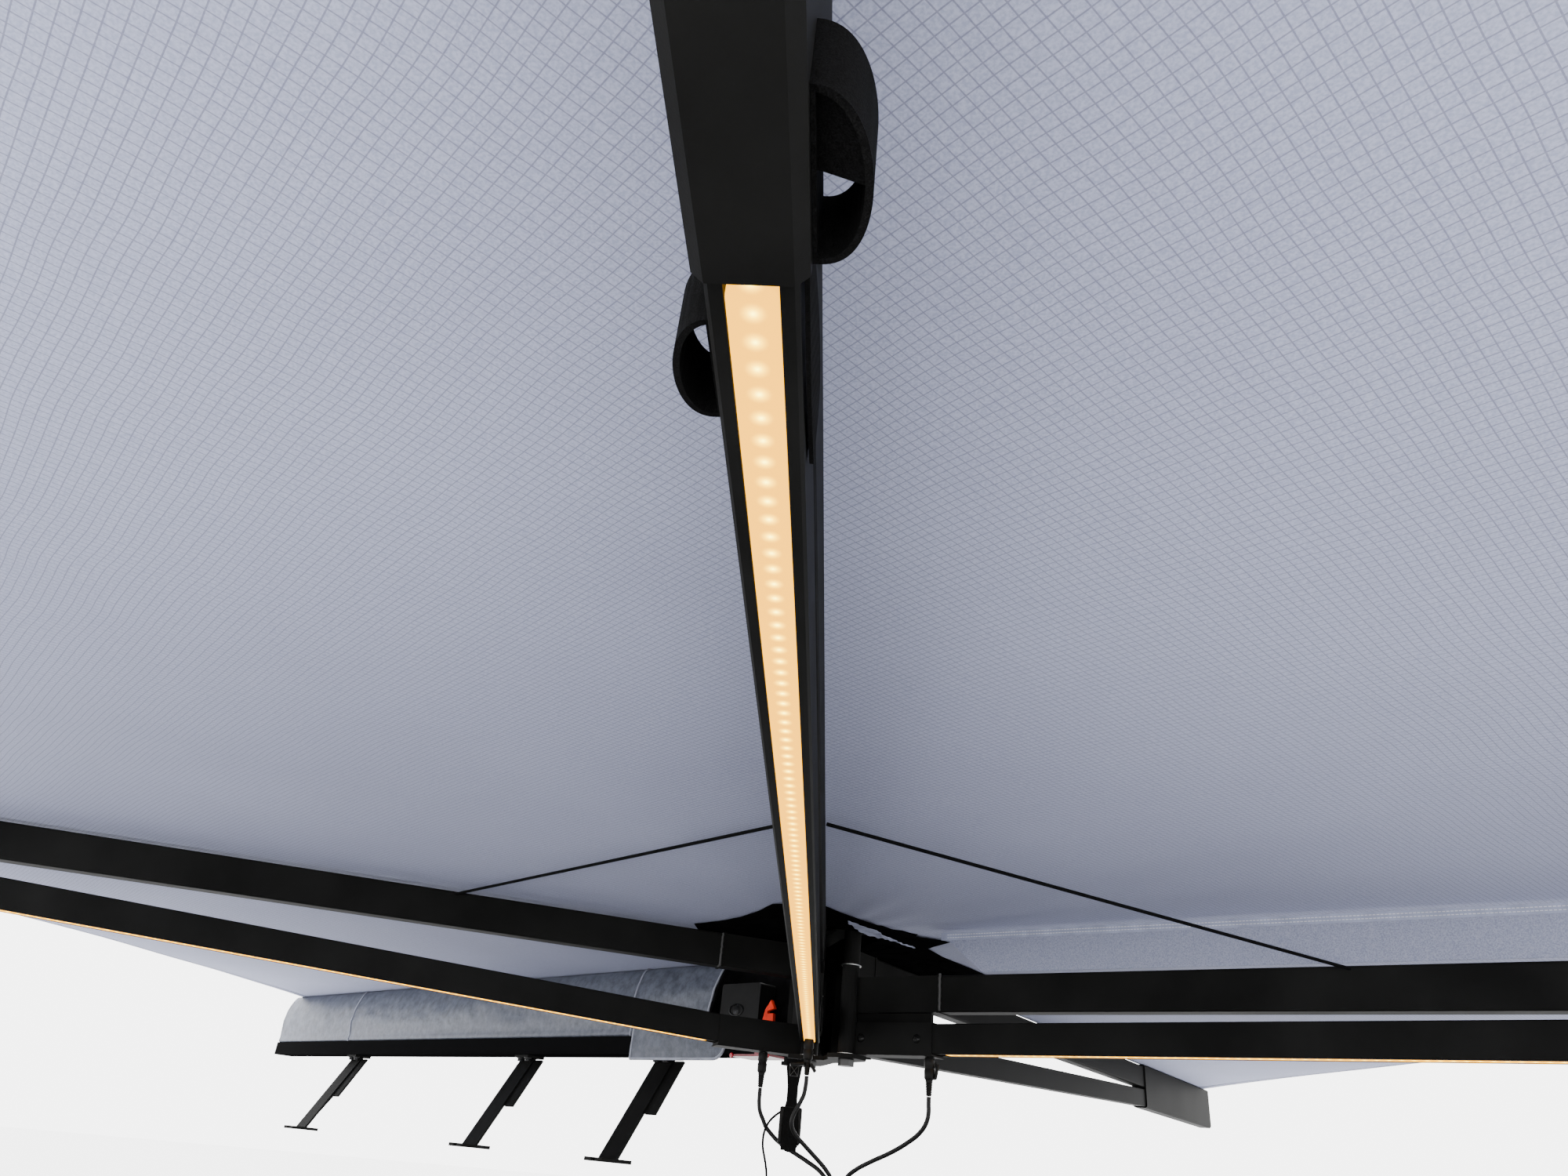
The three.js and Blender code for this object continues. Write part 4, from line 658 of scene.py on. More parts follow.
def panel_plan(near, far, s, t):
    """s runs from the hub out, t from one arm to the next; the outer edge is drawn in."""
    (near_in, near_tip), (far_in, far_tip) = near, far
    middle = (near_tip + far_tip) / 2
    hub = (near_in + far_in) / 2
    control = middle + (hub - middle) * 2 * EDGE_SAG_SHARE
    outer = near_tip * (1 - t) ** 2 + control * 2 * t * (1 - t) + far_tip * t ** 2
    inner = near_in * (1 - t) + far_in * t
    return inner * (1 - s) + outer * s


def panel_height(p, s, t):
    """The cloth is tight along the arms and near the hub, and sags between them farther out."""
    reach = min(max((s - SAG_FROM) / (1 - SAG_FROM), 0.0), 1.0)
    ease = reach * reach * (3 - 2 * reach)
    belly = math.sin(math.pi * t) * ease * (1 - 0.55 * reach ** 6)
    ripple = noise.noise(Vector((p.x * 3.1, p.y * 3.1, 4.2))) * CLOTH_RIPPLE
    fan = math.sin(t * 31.0 + 0.7) * CLOTH_FAN * (1 - s) * math.sin(math.pi * t)
    return -CLOTH_SAG * belly + ripple * belly + fan + CLOTH_LIFT


def panel_point(near, far, s, t):
    p = panel_plan(near, far, s, t)
    return Vector((p.x, p.y, CANOPY_LEVEL + CLOTH_THICKNESS + panel_height(p, s, t)))


def edge_hem(number, near, far):
    """The folded hem along a panel's outer edge."""
    points = [panel_point(near, far, 1.0, j / PANEL_COLUMNS) for j in range(PANEL_COLUMNS + 1)]
    inward = ((near[0] + far[0]) / 2 - (near[1] + far[1]) / 2).normalized().to_3d()
    inner = [p + inward * HEM_WIDTH - UP * HEM_THICKNESS for p in points]
    rows = [[p - UP * HEM_DROP for p in points], inner]
    mesh, _ = sheet_solid(f"canopy_hem_{number}", rows, HEM_THICKNESS, UP)
    piece = show(mesh, "canopy_hem", f"arm_{number}")
    fold_with(piece, number)
    return piece


SEAM_START = 0.10
SEAM_SIDE = 0.004
SEAM_LEVELS = (0.1674, 0.1718)


def last_seam():
    """The canopy's last edge is folded down onto arm 4's upper beam."""
    rows = arm_strip(4, SEAM_START, SLEEVE_START, SEAM_SIDE, SEAM_LEVELS)
    mesh, _ = sheet_solid("canopy_edge_4", rows, CLOTH_THICKNESS, left_of(4), 30)
    return show(mesh, "skirt_cloth", "arm_4")


def add_canopy():
    for number, (near, far) in PANELS.items():
        rows = rows_of(PANEL_ROWS, PANEL_COLUMNS, lambda s, t: panel_point(near, far, s, t))
        mesh, area = sheet_solid(f"canopy_cloth_{number}", rows, CLOTH_THICKNESS, UP)
        piece = show(mesh, "canopy_cloth", f"arm_{number}", f"canopy_panel_{number}")
        trims = [edge_hem(number, near, far)]
        if number == 4:
            trims.append(last_seam())
        width = (near[1] - far[1]).length
        flat = width * ARM_REACH
        max(min(area, flat), 0.31 * flat)
        fold_with(piece, number)


# Arm 3 holds the cloth by a strip that comes down to it from the seam.
SKIRT_SIDE = -0.0105
SKIRT_TOP = 0.1704
SKIRT_FOOT = 0.1138
SKIRT_START = 0.150
SKIRT_SLANT = 0.065
SKIRT_END = 2.106
SKIRT_COLUMNS = 220
SKIRT_WAVE = 0.0007
TAPE_SIDE = SKIRT_SIDE - 0.0008
TAPE_FOOT = SKIRT_TOP - 0.011
TAPE_THICKNESS = 0.0006
STITCH_LEVELS = (SKIRT_TOP - 0.0035, SKIRT_TOP - 0.0075)
STITCH_SIDE = SKIRT_SIDE - 0.0006
STITCH_START = SKIRT_START + 0.01
STITCH_END = SKIRT_END - 0.005
STITCH_PITCH = 0.0042
STITCH_SHARE = 0.68
STITCH_HALF = 0.00045
STITCH_RISE = 0.0007


def skirt_point(share, t):
    start = SKIRT_START + SKIRT_SLANT * share
    along = start + (SKIRT_END - start) * t
    wave = SKIRT_WAVE * math.sin(math.pi * share) * noise.noise(Vector((along * 5.0, share * 1.2, 0.4)))
    return on_arm(3, along, SKIRT_SIDE + wave, SKIRT_TOP + (SKIRT_FOOT - SKIRT_TOP) * share)


def stitch_row(bm, level):
    """Short raised stitches in a row along the skirt's tape."""
    lift = UP * STITCH_HALF
    out = left_of(3) * -STITCH_RISE
    for i in range(int((STITCH_END - STITCH_START) / STITCH_PITCH)):
        a = on_arm(3, STITCH_START + i * STITCH_PITCH, STITCH_SIDE, level)
        b = on_arm(3, STITCH_START + (i + STITCH_SHARE) * STITCH_PITCH, STITCH_SIDE, level)
        corners = [a - lift, b - lift, b + lift, a + lift]
        base = [bm.verts.new(c) for c in corners]
        top = [bm.verts.new(c + out) for c in corners]
        ring_faces(bm, [base, top])


def add_skirt():
    rows = rows_of(6, SKIRT_COLUMNS, skirt_point)
    mesh, _ = sheet_solid("canopy_skirt", rows, CLOTH_THICKNESS, left_of(3))
    piece = show(mesh, "skirt_cloth", "arm_3")
    bm = bmesh.new()
    for level in STITCH_LEVELS:
        stitch_row(bm, level)
    stitches = show(mesh_from("skirt_stitches", bm, 20), "thread", "arm_3")
    rows = arm_strip(3, SKIRT_START, SKIRT_END, TAPE_SIDE, (SKIRT_TOP, TAPE_FOOT))
    tape_mesh, _ = sheet_solid("skirt_tape", rows, TAPE_THICKNESS, left_of(3))
    tape = show(tape_mesh, "seam_tape", "arm_3")


def plan_sides(near, far, each):
    """The two long sides of a strip in the hub frame's plan, smoothed between their points."""
    return [spline_points([Vector((*p, 0)) for p in side], each) for side in (near, far)]


# The spare cloth bunched beside arm 4's root: its two long sides in the hub frame's plan.
SPARE_NEAR = ((158, -106), (159, -74), (155, -36), (148, -8), (139, 35), (137, 60), (138, 76))
SPARE_FAR = ((150, -95), (130, -45), (125, -12), (131, 12), (133, 44), (134, 66), (134, 84))
SPARE_LEVEL = 168.75
SPARE_RISE = 0.7
SPARE_CREASE = 1.2
SPARE_STEPS = 10
SPARE_THICKNESS = 0.0003


def spare_point(p, share, t):
    fold = SPARE_RISE * math.sin(share * 70.0 + t * 9.0 + 2.0 * math.sin(share * 11.0))
    crease = SPARE_CREASE * noise.noise(Vector((p.x / 5, p.y / 9, 2.6)))
    rise = max(min(fold + crease, SPARE_RISE), -SPARE_RISE)
    return hub_point(p.x + crease * 2, p.y, SPARE_LEVEL + rise)


def add_gathered_corner():
    """Spare canopy cloth, bunched beside arm 4's root under the black centre."""
    near, far = plan_sides(SPARE_NEAR, SPARE_FAR, SPARE_STEPS)
    last = len(near) - 1
    rows = []
    for j in range(13):
        t = j / 12
        rows.append([spare_point(near[i].lerp(far[i], t), i / last, t) for i in range(last + 1)])
    mesh, area = sheet_solid("gathered_corner", rows, SPARE_THICKNESS, UP)
    piece = show(mesh, "spare_cloth", "mount")


# The black reinforcement sewn under panel 4 beside arm 4's root, in the hub frame's plan.
GUARD_NEAR = ((150, -30), (160, 20), (155, 70), (142, 110), (125, 180), (108, 300), (84, 470))
GUARD_FAR = ((100, 30), (60, 50), (10, 80), (-30, 110), (-60, 180), (-90, 300), (-120, 470))
GUARD_LEVEL = UP * 171.2
GUARD_STEPS = 4
GUARD_THICKNESS = 0.0004


def add_root_guard():
    near, far = plan_sides(GUARD_NEAR, GUARD_FAR, GUARD_STEPS)
    rows = [[hub_point(*(a.lerp(b, j / 6) + GUARD_LEVEL)) for a, b in zip(near, far)] for j in range(7)]
    mesh, area = sheet_solid("arm_4_root_guard", rows, GUARD_THICKNESS, UP)
    piece = show(mesh, "lining", "arm_4")
    length = path_length(near) * MM
    fold_with(piece, 4)


# The hub's black cover: a cloth dome above, and the straight-edged black centre seen from below.
COVER_CENTRE = Vector((46, 0))
COVER_RADIUS = 235
COVER_FLAT = 150
COVER_RIM = 173.4
COVER_CROWN = 195.7
COVER_CREASE = 0.9
COVER_THICKNESS = 0.0015
DOME_SLACK = 1.02
PATCH_CORNERS = (
    (-192, 74), (-188, -70), (-100, -178), (-46, -176), (9, -184), (65, -201), (122, -227), (190, -206),
    (182, -151), (180, -105), (180, -46), (188, 19), (204, 48), (213, 69), (165, 89), (130, 108), (60, 132),
    (-40, 150),
)
PATCH_HOLE = 88
PATCH_LEVEL = 169.75
PATCH_WAVE = 0.35
PATCH_THICKNESS = 0.0006
PATCH_STEPS = 5
PATCH_SIZE = (0.40, 0.38)


def dome_point(share, c, s):
    radius = COVER_RADIUS * (0.02 + 0.98 * share)
    slope = min(max((radius - COVER_FLAT) / (COVER_RADIUS - COVER_FLAT), 0), 1)
    crease = COVER_CREASE * noise.noise(Vector((c * 3.4, s * 3.4, share * 2.0)))
    level = COVER_CROWN + (COVER_RIM - COVER_CROWN) * slope + (1 + crease) * (1 - slope * 0.8)
    return hub_point(COVER_CENTRE.x + radius * c, COVER_CENTRE.y + radius * s, level)


def patch_outline():
    """Points along the black centre's edge, the same number on each of its sides."""
    corners = [Vector(c) for c in PATCH_CORNERS]
    edge = []
    for p, q in zip(corners, corners[1:] + corners[:1]):
        edge += [p.lerp(q, i / PATCH_STEPS) for i in range(PATCH_STEPS)]
    return edge


def patch_point(p, share):
    way = p - COVER_CENTRE
    q = COVER_CENTRE + way.normalized() * (PATCH_HOLE + (way.length - PATCH_HOLE) * share)
    wave = PATCH_WAVE * noise.noise(Vector((q.x / 34, q.y / 34, 1.0)))
    return hub_point(q.x, q.y, PATCH_LEVEL + wave)


def add_hub_cover():
    rows = [[dome_point(i / 16, c, s) for c, s in circle(72)] for i in range(17)]
    dome = round_sheet("hub_cover_cloth", rows, COVER_THICKNESS, True)
    dome = show(dome, "lining", "mount", "hub_cover")
    rows = [[patch_point(p, i / 8) for p in patch_outline()] for i in range(9)]
    patch = round_sheet("hub_cover_centre", rows, PATCH_THICKNESS, False)
    patch = show(patch, "lining", "mount")
    across = 2 * COVER_RADIUS * MM
    area = math.pi * across ** 2 / 4 * DOME_SLACK
    area = sum(face.area for face in patch.data.polygons) / 2
    area = min(area, PATCH_SIZE[0] * PATCH_SIZE[1])


# The cover bag: a slack shell behind the rail, with pale piping, and its end flap in front of the rail.
BAG_SHARES = (
    (0.08, 0), (0.92, 0), (1.2, 0.12), (1.42, 0.36), (1.36, 0.62), (1.06, 0.84),
    (0.72, 1), (0.42, 1), (0.16, 0.86), (-0.08, 0.6), (-0.1, 0.34), (0, 0.12),
)
RAIL_FRONT = 66
RAIL_DEPTH = 52
BAG_LEVEL = 44.3
BAG_TOP = 170.4
BAG_HEIGHT = BAG_TOP - BAG_LEVEL
BAG_CLEAR = 0.2
BAG_START = -291
BAG_END = -2180
BAG_STATIONS = 170
BAG_SEAMS = (-300, -536, -1735)
BAG_SLACK = 3.2
BAG_WRINKLE = 5.5
BAG_CREASE = 2.6
BAG_LEAN = 22
BAG_LEAN_LENGTH = 160
BAG_END_BULGES = (0.004, 0.006)
# Slant of the edge of the painted shade on the bag's end.
BAG_END_SHADE_SLANT = 0.17
PIPING_RISE = 0.8
PIPING_RADIUS = 0.0020


def bag_section(x, inset=0.0):
    """The bag's closed outline at one place along the rail, slack and wrinkled."""
    loop = [Vector((RAIL_FRONT + y * RAIL_DEPTH, BAG_LEVEL + z * BAG_HEIGHT, 0)) for y, z in BAG_SHARES]
    count = len(loop)
    outline = []
    for i in range(count):
        four = [loop[(i + k - 1) % count] for k in range(4)]
        outline += [spline_point(*four, k / 4) for k in range(4)]
    centre = sum(outline, Vector()) / len(outline)
    section = []
    for p in outline:
        rise = (p.y - BAG_LEVEL) / BAG_HEIGHT
        free = math.sin(math.pi * min(max(rise, 0.0), 1.0))
        big = noise.noise(Vector((x / 210, p.x / 60, p.y / 55)))
        small = noise.noise(Vector((x / 46 + p.y / 60, p.x / 30, p.y / 24)))
        depth = free * (BAG_SLACK + BAG_WRINKLE * big + BAG_CREASE * small) + inset
        q = p + (centre - p).normalized() * depth
        section.append(bag_point(x, q.x, min(max(q.y, BAG_LEVEL + BAG_CLEAR), BAG_TOP)))
    return section


def bag_point(x, y, z):
    """The bag's rear end leans: its top reaches farther back than its foot."""
    near = max(0.0, 1 - (BAG_START - x) / BAG_LEAN_LENGTH)
    return hub_point(x - near * BAG_LEAN * (1 - (z - BAG_LEVEL) / BAG_HEIGHT), y, z)


def bag_shell():
    bm = bmesh.new()
    length = BAG_END - BAG_START
    sections = [bag_section(BAG_START + length * i / BAG_STATIONS) for i in range(BAG_STATIONS + 1)]
    rings = [[bm.verts.new(p) for p in section] for section in sections]
    grid_faces(bm, rings, closed=True)
    for ring, way in ((rings[0], -1), (rings[-1], 1)):
        centre = sum((v.co for v in ring), Vector()) / len(ring)
        low, high = [Vector((way * bulge, 0, 0)) for bulge in BAG_END_BULGES]
        middle = bm.verts.new(centre + high)
        inner = [bm.verts.new(v.co.lerp(centre, 0.5) + low) for v in ring]
        grid_faces(bm, [ring, inner], closed=True)
        for k in range(len(inner)):
            bm.faces.new((inner[k], inner[(k + 1) % len(inner)], middle))
    return mesh_from("cover_bag_shell", bm, 60)


def paint_bag_end_shade(mesh):
    """The bag's end beside the hub takes the black lining material from the last piping on: painted shade
    for the end in shadow.
    """
    mesh.materials.append(MATERIALS["lining"])
    top = hub_point(BAG_SEAMS[0] + 1, 0, BAG_TOP)
    for face in mesh.polygons:
        if face.center.x > top.x + (face.center.z - top.z) * BAG_END_SHADE_SLANT:
            face.material_index = 1


def add_bag():
    shell = show(bag_shell(), "cover_cloth", "mount", "cover_bag")
    paint_bag_end_shade(shell.data)
    loops = [bag_section(seam, -PIPING_RISE) for seam in BAG_SEAMS]
    tubes = [tube_mesh("piping", loop, PIPING_RADIUS, 8, closed=True) for loop in loops]
    piping = show(joined("cover_bag_piping", tubes), "piping")
    piping.parent = shell


FLAP_START = -262
FLAP_LENGTH = 260
FLAP_HEIGHT = 56
FLAP_LEVEL = 4
FLAP_FRONT = 62.4
FLAP_THICKNESS = 0.0026
FLAP_BULGE = 3.2
FLAP_DENT = 1.5
FLAP_GAP = 0.4
FLAP_PIPING_BACK = Vector((0, 0.0012, 0))
FLAP_PIPING_RADIUS = 0.0027
BACKWARD = Vector((0, 1, 0))


def flap_half_height(along):
    """Half the flap's height, a distance from its rounded end."""
    r = FLAP_HEIGHT / 2
    return r if along >= r else math.sqrt(max(r * r - (r - along) ** 2, 0.5))


def flap_point(s, t):
    along = FLAP_LENGTH * s ** 1.35 + FLAP_GAP
    share = -1 + 2 * t
    round_off = 1 - share * share
    bulge = FLAP_BULGE * round_off * math.sin(math.pi * min(along / FLAP_LENGTH + 0.06, 1.0))
    dent = FLAP_DENT * noise.noise(Vector((along / 38, share * 1.4, 7.0))) * round_off
    level = FLAP_LEVEL + FLAP_HEIGHT / 2 + flap_half_height(along) * share
    return hub_point(FLAP_START - along, FLAP_FRONT - max(bulge + dent, 0.0), level)


def add_flap():
    rows = rows_of(48, 14, flap_point)
    mesh, area = sheet_solid("cover_flap_cloth", rows, FLAP_THICKNESS, BACKWARD)
    piece = show(mesh, "cover_cloth", "mount", "cover_end_flap")
    border = [row[-1] for row in reversed(rows)] + rows[0][1:-1][::-1]
    border += [row[0] for row in rows] + rows[-1][1:]
    run = spline_points([p + FLAP_PIPING_BACK for p in border], 2)
    tube = tube_mesh("cover_flap_piping", run, FLAP_PIPING_RADIUS, 8)
    piping = show(tube, "piping", "mount")
    height, length = FLAP_HEIGHT * MM, FLAP_LENGTH * MM
    area = min(area, height * length)


LINING_START = -318
LINING_LENGTH = 322
LINING_BACK = 112
LINING_STEP = 26
LINING_BEND = 60
LINING_WAVE = 2.2
LINING_FOOT = 44.6
LINING_TOP = 169.0
LINING_THICKNESS = 0.0012


def lining_point(s, t):
    x = LINING_START + LINING_LENGTH * t
    back = LINING_BACK - LINING_STEP * min(max(x / LINING_BEND + 1, 0.0), 1.0)
    wave = LINING_WAVE * noise.noise(Vector((x / 30, s * 3.0, 5.0)))
    return hub_point(x, back + wave, LINING_FOOT + (LINING_TOP - LINING_FOOT) * s)


def add_lining():
    """The bag's black inner flap, standing on the rail behind the control box and the hub."""
    mesh, _ = sheet_solid("cover_inner_lining", rows_of(12, 60, lining_point), LINING_THICKNESS, BACKWARD)
    piece = show(mesh, "lining", "mount")


# Cords and leads: routes are in millimetres of the hub frame.
LEAD_DIAMETER = 0.005
LIGHT_LEAD_DIAMETER = 0.0062
CORD_DIAMETER = 0.004
LEAD_ROUTES = {
    1: (
        (-62.7, -36.9, -48.9), (-62.7, -36.9, -58.9), (-63, -36, -69), (-62, -34, -80), (-59, -29, -91),
        (-55, -25, -101), (-48, -19, -110), (-39, -14, -118), (-28, -8, -125), (-16, -3, -131),
        (-4, 3, -137), (8, 8, -143), (19, 13, -149), (28, 17, -156), (34, 20, -164), (36, 21, -172),
        (36, 21, -179),
    ),
    2: (
        (40.1, -44.6, -31.9), (40.1, -44.6, -41.9), (39, -46, -56), (36, -48, -65), (32, -50, -74),
        (27, -52, -84), (24, -52, -94), (23, -47, -104), (25, -38, -113), (28, -27, -121),
        (31, -16, -129), (35, -4, -138), (39, 7, -147), (43, 16, -157), (45, 22, -167), (45, 25, -173),
        (45, 25, -179),
    ),
    3: (
        (216, 19.6, -48.9), (216, 19.6, -58.9), (216, 20, -68), (214, 20, -78), (208, 20, -88),
        (196, 21, -98), (180, 22, -107), (161, 23, -116), (141, 24, -124), (121, 25, -131),
        (101, 27, -138), (84, 28, -145), (70, 28, -153), (60, 29, -162), (55, 29, -171), (54, 29, -179),
    ),
}


def declare_cord(piece, points, diameter, far_end, lay, stiffness="medium", **more):
    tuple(points[0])
    path_length(points)


def add_light_leads():
    for number, route in LEAD_ROUTES.items():
        points = spline_points([hub_point(*p) for p in route])
        mesh = tube_mesh(f"light_lead_run_{number}", points, LIGHT_LEAD_DIAMETER / 2)
        piece = show(mesh, "lead_rubber", replaces=f"light_lead_{number}")
        declare_cord(piece, points, LIGHT_LEAD_DIAMETER, "object", "hanging")
        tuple(points[0])
        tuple(points[-1])
        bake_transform(piece)


SPLITTER_PLACE = (45, 25)
SPLITTER_TURN = 24
COIL_LEVEL = -201.6
COIL_DROP = 16
COIL_BEND = 15
COIL_OUTER = 35
COIL_PITCH = 6.2
COIL_LAYERS = 4
COIL_LAYER_TURNS = 2.5
COIL_CLIMB_TURNS = 0.5
COIL_STEPS = 24
COIL_BEND_STEPS = 4


def coil_loops(middle):
    """Loops that spiral in and out through the coil's layers, round a level of the hub frame."""
    angle = math.pi / 2
    depth = 0.0
    step = 2 * math.pi / COIL_STEPS
    climb = int(COIL_CLIMB_TURNS * COIL_STEPS)
    steps = int(COIL_LAYER_TURNS * COIL_STEPS)
    radii = [COIL_OUTER, COIL_OUTER - COIL_PITCH * COIL_LAYER_TURNS]
    points = []

    def point(r):
        points.append((COIL_BEND + r * math.cos(angle), depth, middle + r * math.sin(angle)))

    for layer in range(COIL_LAYERS):
        start, end = radii if layer % 2 == 0 else radii[::-1]
        for i in range(steps):
            point(start + (end - start) * i / steps)
            angle -= step
        if layer < COIL_LAYERS - 1:
            for _ in range(climb):
                point(end)
                angle -= step
                depth += COIL_PITCH / climb
    point(COIL_OUTER)
    return points


def power_lead_points():
    """Straight down, a quarter bend, the coil, a quarter bend back, and down to the plug."""
    turn_down = COIL_LEVEL - COIL_DROP
    middle = turn_down - COIL_BEND - COIL_OUTER
    quarter = [math.pi / 2 * i / COIL_BEND_STEPS for i in range(1, COIL_BEND_STEPS + 1)]
    bend = [(COIL_BEND * (1 - math.cos(a)), COIL_BEND * math.sin(a)) for a in quarter]
    points = [(0, 0, COIL_LEVEL), (0, 0, turn_down)]
    points += [(x, 0, turn_down - z) for x, z in bend[:-1]]
    points += coil_loops(middle)
    depth = points[-1][1]
    foot = middle - COIL_OUTER
    points += [(COIL_BEND - z, depth, foot - x) for x, z in bend]
    points.append((points[-1][0], depth, points[-1][2] - LEAD_DIAMETER / MM))
    centre = hub_point(*SPLITTER_PLACE, 0)
    return [centre + turned_z(SPLITTER_TURN).to_3x3() @ Vector(p) * MM for p in points]


def add_power_lead():
    points = power_lead_points()
    mesh = tube_mesh("power_lead_run", points, LEAD_DIAMETER / 2)
    piece = show(mesh, "lead_rubber", "mount", "power_lead_coil")
    declare_cord(piece, points, LEAD_DIAMETER, "plug", "coiled", with_pieces=["power_plug"])


# Each shock cord: its side of arm 2, its other arm, and its place, side and level there.
SHOCK_CORDS = {
    "shock_cord_left": (-1, 1, 0.570, 1, 0.163),
    "shock_cord_right": (1, 3, 0.690, -1, 0.106),
}
CORD_START = 0.680
CORD_LEVEL = 0.163
CORD_CLEAR = 0.0165


def add_shock_cords():
    for name, (side, arm, along, far_side, far_level) in SHOCK_CORDS.items():
        start = on_arm(2, CORD_START, side * CORD_CLEAR, CORD_LEVEL)
        end = on_arm(arm, along, far_side * CORD_CLEAR, far_level)
        points = [start.lerp(end, i / 24) for i in range(25)]
        mesh = tube_mesh(name + "_run", points, CORD_DIAMETER / 2)
        piece = show(mesh, "elastic", "arm_2", name)
        declare_cord(piece, points, CORD_DIAMETER, "object", "taut", stiffness="limp")
        fold_with(piece, 2)


# Plugs under the light strips: where along its arm and how high each starts, and its turned outline.
PLUG_TOPS = {1: (0.062, 0.0014), 2: (0.060, 0.0187), 3: (0.128, 0.0014)}
PLUG_PROFILE = (
    (3.2, 0), (6.4, -0.2), (7.2, -1.4), (7.4, -12), (6.6, -13), (6.6, -15), (7.3, -16), (7.0, -27),
    (6.2, -28.2), (5.2, -29), (5.2, -31),
)
RELIEF_TOP = -31
RELIEF_FOOT = -49.6
RELIEF_RIBS = 6
RELIEF_RADIUS = 5.0
RELIEF_TAPER = 1.2
RELIEF_GROOVE = 0.8
RELIEF_GAP = 0.1
RELIEF_END = 3.3


def plug_profile():
    profile = list(PLUG_PROFILE)
    pitch = (RELIEF_TOP - RELIEF_FOOT) / RELIEF_RIBS
    for i in range(RELIEF_RIBS):
        radius = RELIEF_RADIUS - RELIEF_TAPER * i / RELIEF_RIBS
        level = RELIEF_TOP - pitch * i
        profile += [(radius, level - RELIEF_GAP), (radius, level - pitch * 0.55)]
        profile.append((radius - RELIEF_GROOVE, level - pitch * 0.62))
    return [*profile, (RELIEF_END, RELIEF_FOOT)]


# Rubber dust caps, placed beside and below their plug's top, in millimetres. Plug 2's lies open in two
# leaves, and plug 3's hangs down its other side. Each leaf: its place, size and tilt.
CAP_WAY = Vector((-0.683, -0.730, 0))
CAP_LEAVES = {
    2: (((15.0, -36.0), (21, 17, 4.2), 0.12), ((-8.5, -39.0), (13, 15, 4), -0.95)),
    3: (((-9.8, -18.0), (20, 14, 4), -1.75),),
}
CAP_STRAPS = {
    2: (((4, -30), (8, -35.5), (15, -36)), 0.0016),
    3: (((-5, -6), (-9, -7), (-9.8, -18)), 0.0014),
}


def dust_caps(number, centre):
    def beside(place):
        return centre + (CAP_WAY * place[0] + UP * place[1]) * MM

    meshes = []
    heading = Matrix.Rotation(math.atan2(CAP_WAY.y, CAP_WAY.x), 4, "Z")
    for place, size, tilt in CAP_LEAVES.get(number, ()):
        turn = heading @ Matrix.Rotation(tilt, 4, "Y")
        meshes.append(block("leaf", size, size[2] * 0.42, beside(place), turn))
    if number in CAP_STRAPS:
        places, radius = CAP_STRAPS[number]
        meshes.append(tube_mesh("leaf_strap", spline_points([beside(p) for p in places]), radius, 8))
    return meshes


def add_plugs():
    for number, (along, top) in PLUG_TOPS.items():
        centre = on_arm(number, along, 0, top)
        body = lathe_mesh("plug_body", plug_profile(), centre)
        mesh = joined(f"light_plug_moulded_{number}", [body, *dust_caps(number, centre)])
        show(mesh, "black_plastic", f"arm_{number}", f"light_plug_{number}")


# Webbing loops on arm 2: start and length along it, the beam's side, which side, bulge, level, and the
# share of the band that is folded in; then the node it stands for and how much of it stays when folded.
LOOPS = {
    "strap_loop_sleeve": ((1.541, 0.060, SLEEVE_HALF, 1, 0.018, 0.092, 0.50), 0.05),
    "strap_loop_beam": ((1.466, 0.050, 0.0153, -1, 0.0150, 0.091, 0.10), 0.33),
}
LOOP_WEB = UP * 0.027
LOOP_STEPS = 40
LOOP_DROP = 0.003
LOOP_THICKNESS = 0.0024
LEAF_THICKNESS = 0.0016
LEAF_DROP = UP * 0.012
LEAF_RISE = 0.004
SEWN_THICKNESS = 0.0014
SEWN_LIFT = 0.0008
LOOP_END_GAP = 0.001
LOOP_ANCHOR = (1.5, 0.091)


def loop_mesh(name, start, length, side, out, bulge, level, fold):
    """A webbing loop sewn to the beam's side: its band stands on edge, bows out and folds in at one end."""
    half = length / 2
    points, outer, inner = [], [], []
    for i in range(LOOP_STEPS + 1):
        a = math.pi * i / LOOP_STEPS
        reach = side + (bulge - LEAF_THICKNESS) * math.sin(a) ** 0.8
        along = start + half + (half - LOOP_END_GAP) * math.cos(a)
        points.append(on_arm(2, along, out * reach, level - LOOP_DROP * math.sin(a)))
        if i <= int(LOOP_STEPS * fold):
            outer.append(points[-1] - LEAF_DROP)
            inner.append(on_arm(2, along, out * side, level + LEAF_RISE) - LEAF_DROP)
    normals = []
    for i in range(LOOP_STEPS + 1):
        along = points[min(i + 1, LOOP_STEPS)] - points[max(i - 1, 0)]
        normals.append(along.normalized().cross(UP).normalized())
    band = ribbon_mesh(name, points, [LOOP_WEB] * len(points), normals, LOOP_THICKNESS)
    leaf, _ = sheet_solid(name, [outer, inner], LEAF_THICKNESS, UP)
    sewn = arm_strip(2, start, start + length, out * (side + SEWN_LIFT), [level], 12)[0]
    base = ribbon_mesh(name, sewn, [LOOP_WEB] * 13, [left_of(2)] * 13, SEWN_THICKNESS)
    return joined(name, [band, leaf, base])


TAIL_START = 1.538
TAIL_END = 1.436
TAIL_SIDE = 0.0152
TAIL_BOW = 0.0012
TAIL_LIFT = 0.0015
TAIL_TWIST = 0.12
TAIL_LEVEL = 0.088
TAIL_SAG = 0.006
TAIL_WIDTH = 0.016
TAIL_THICKNESS = 0.0017


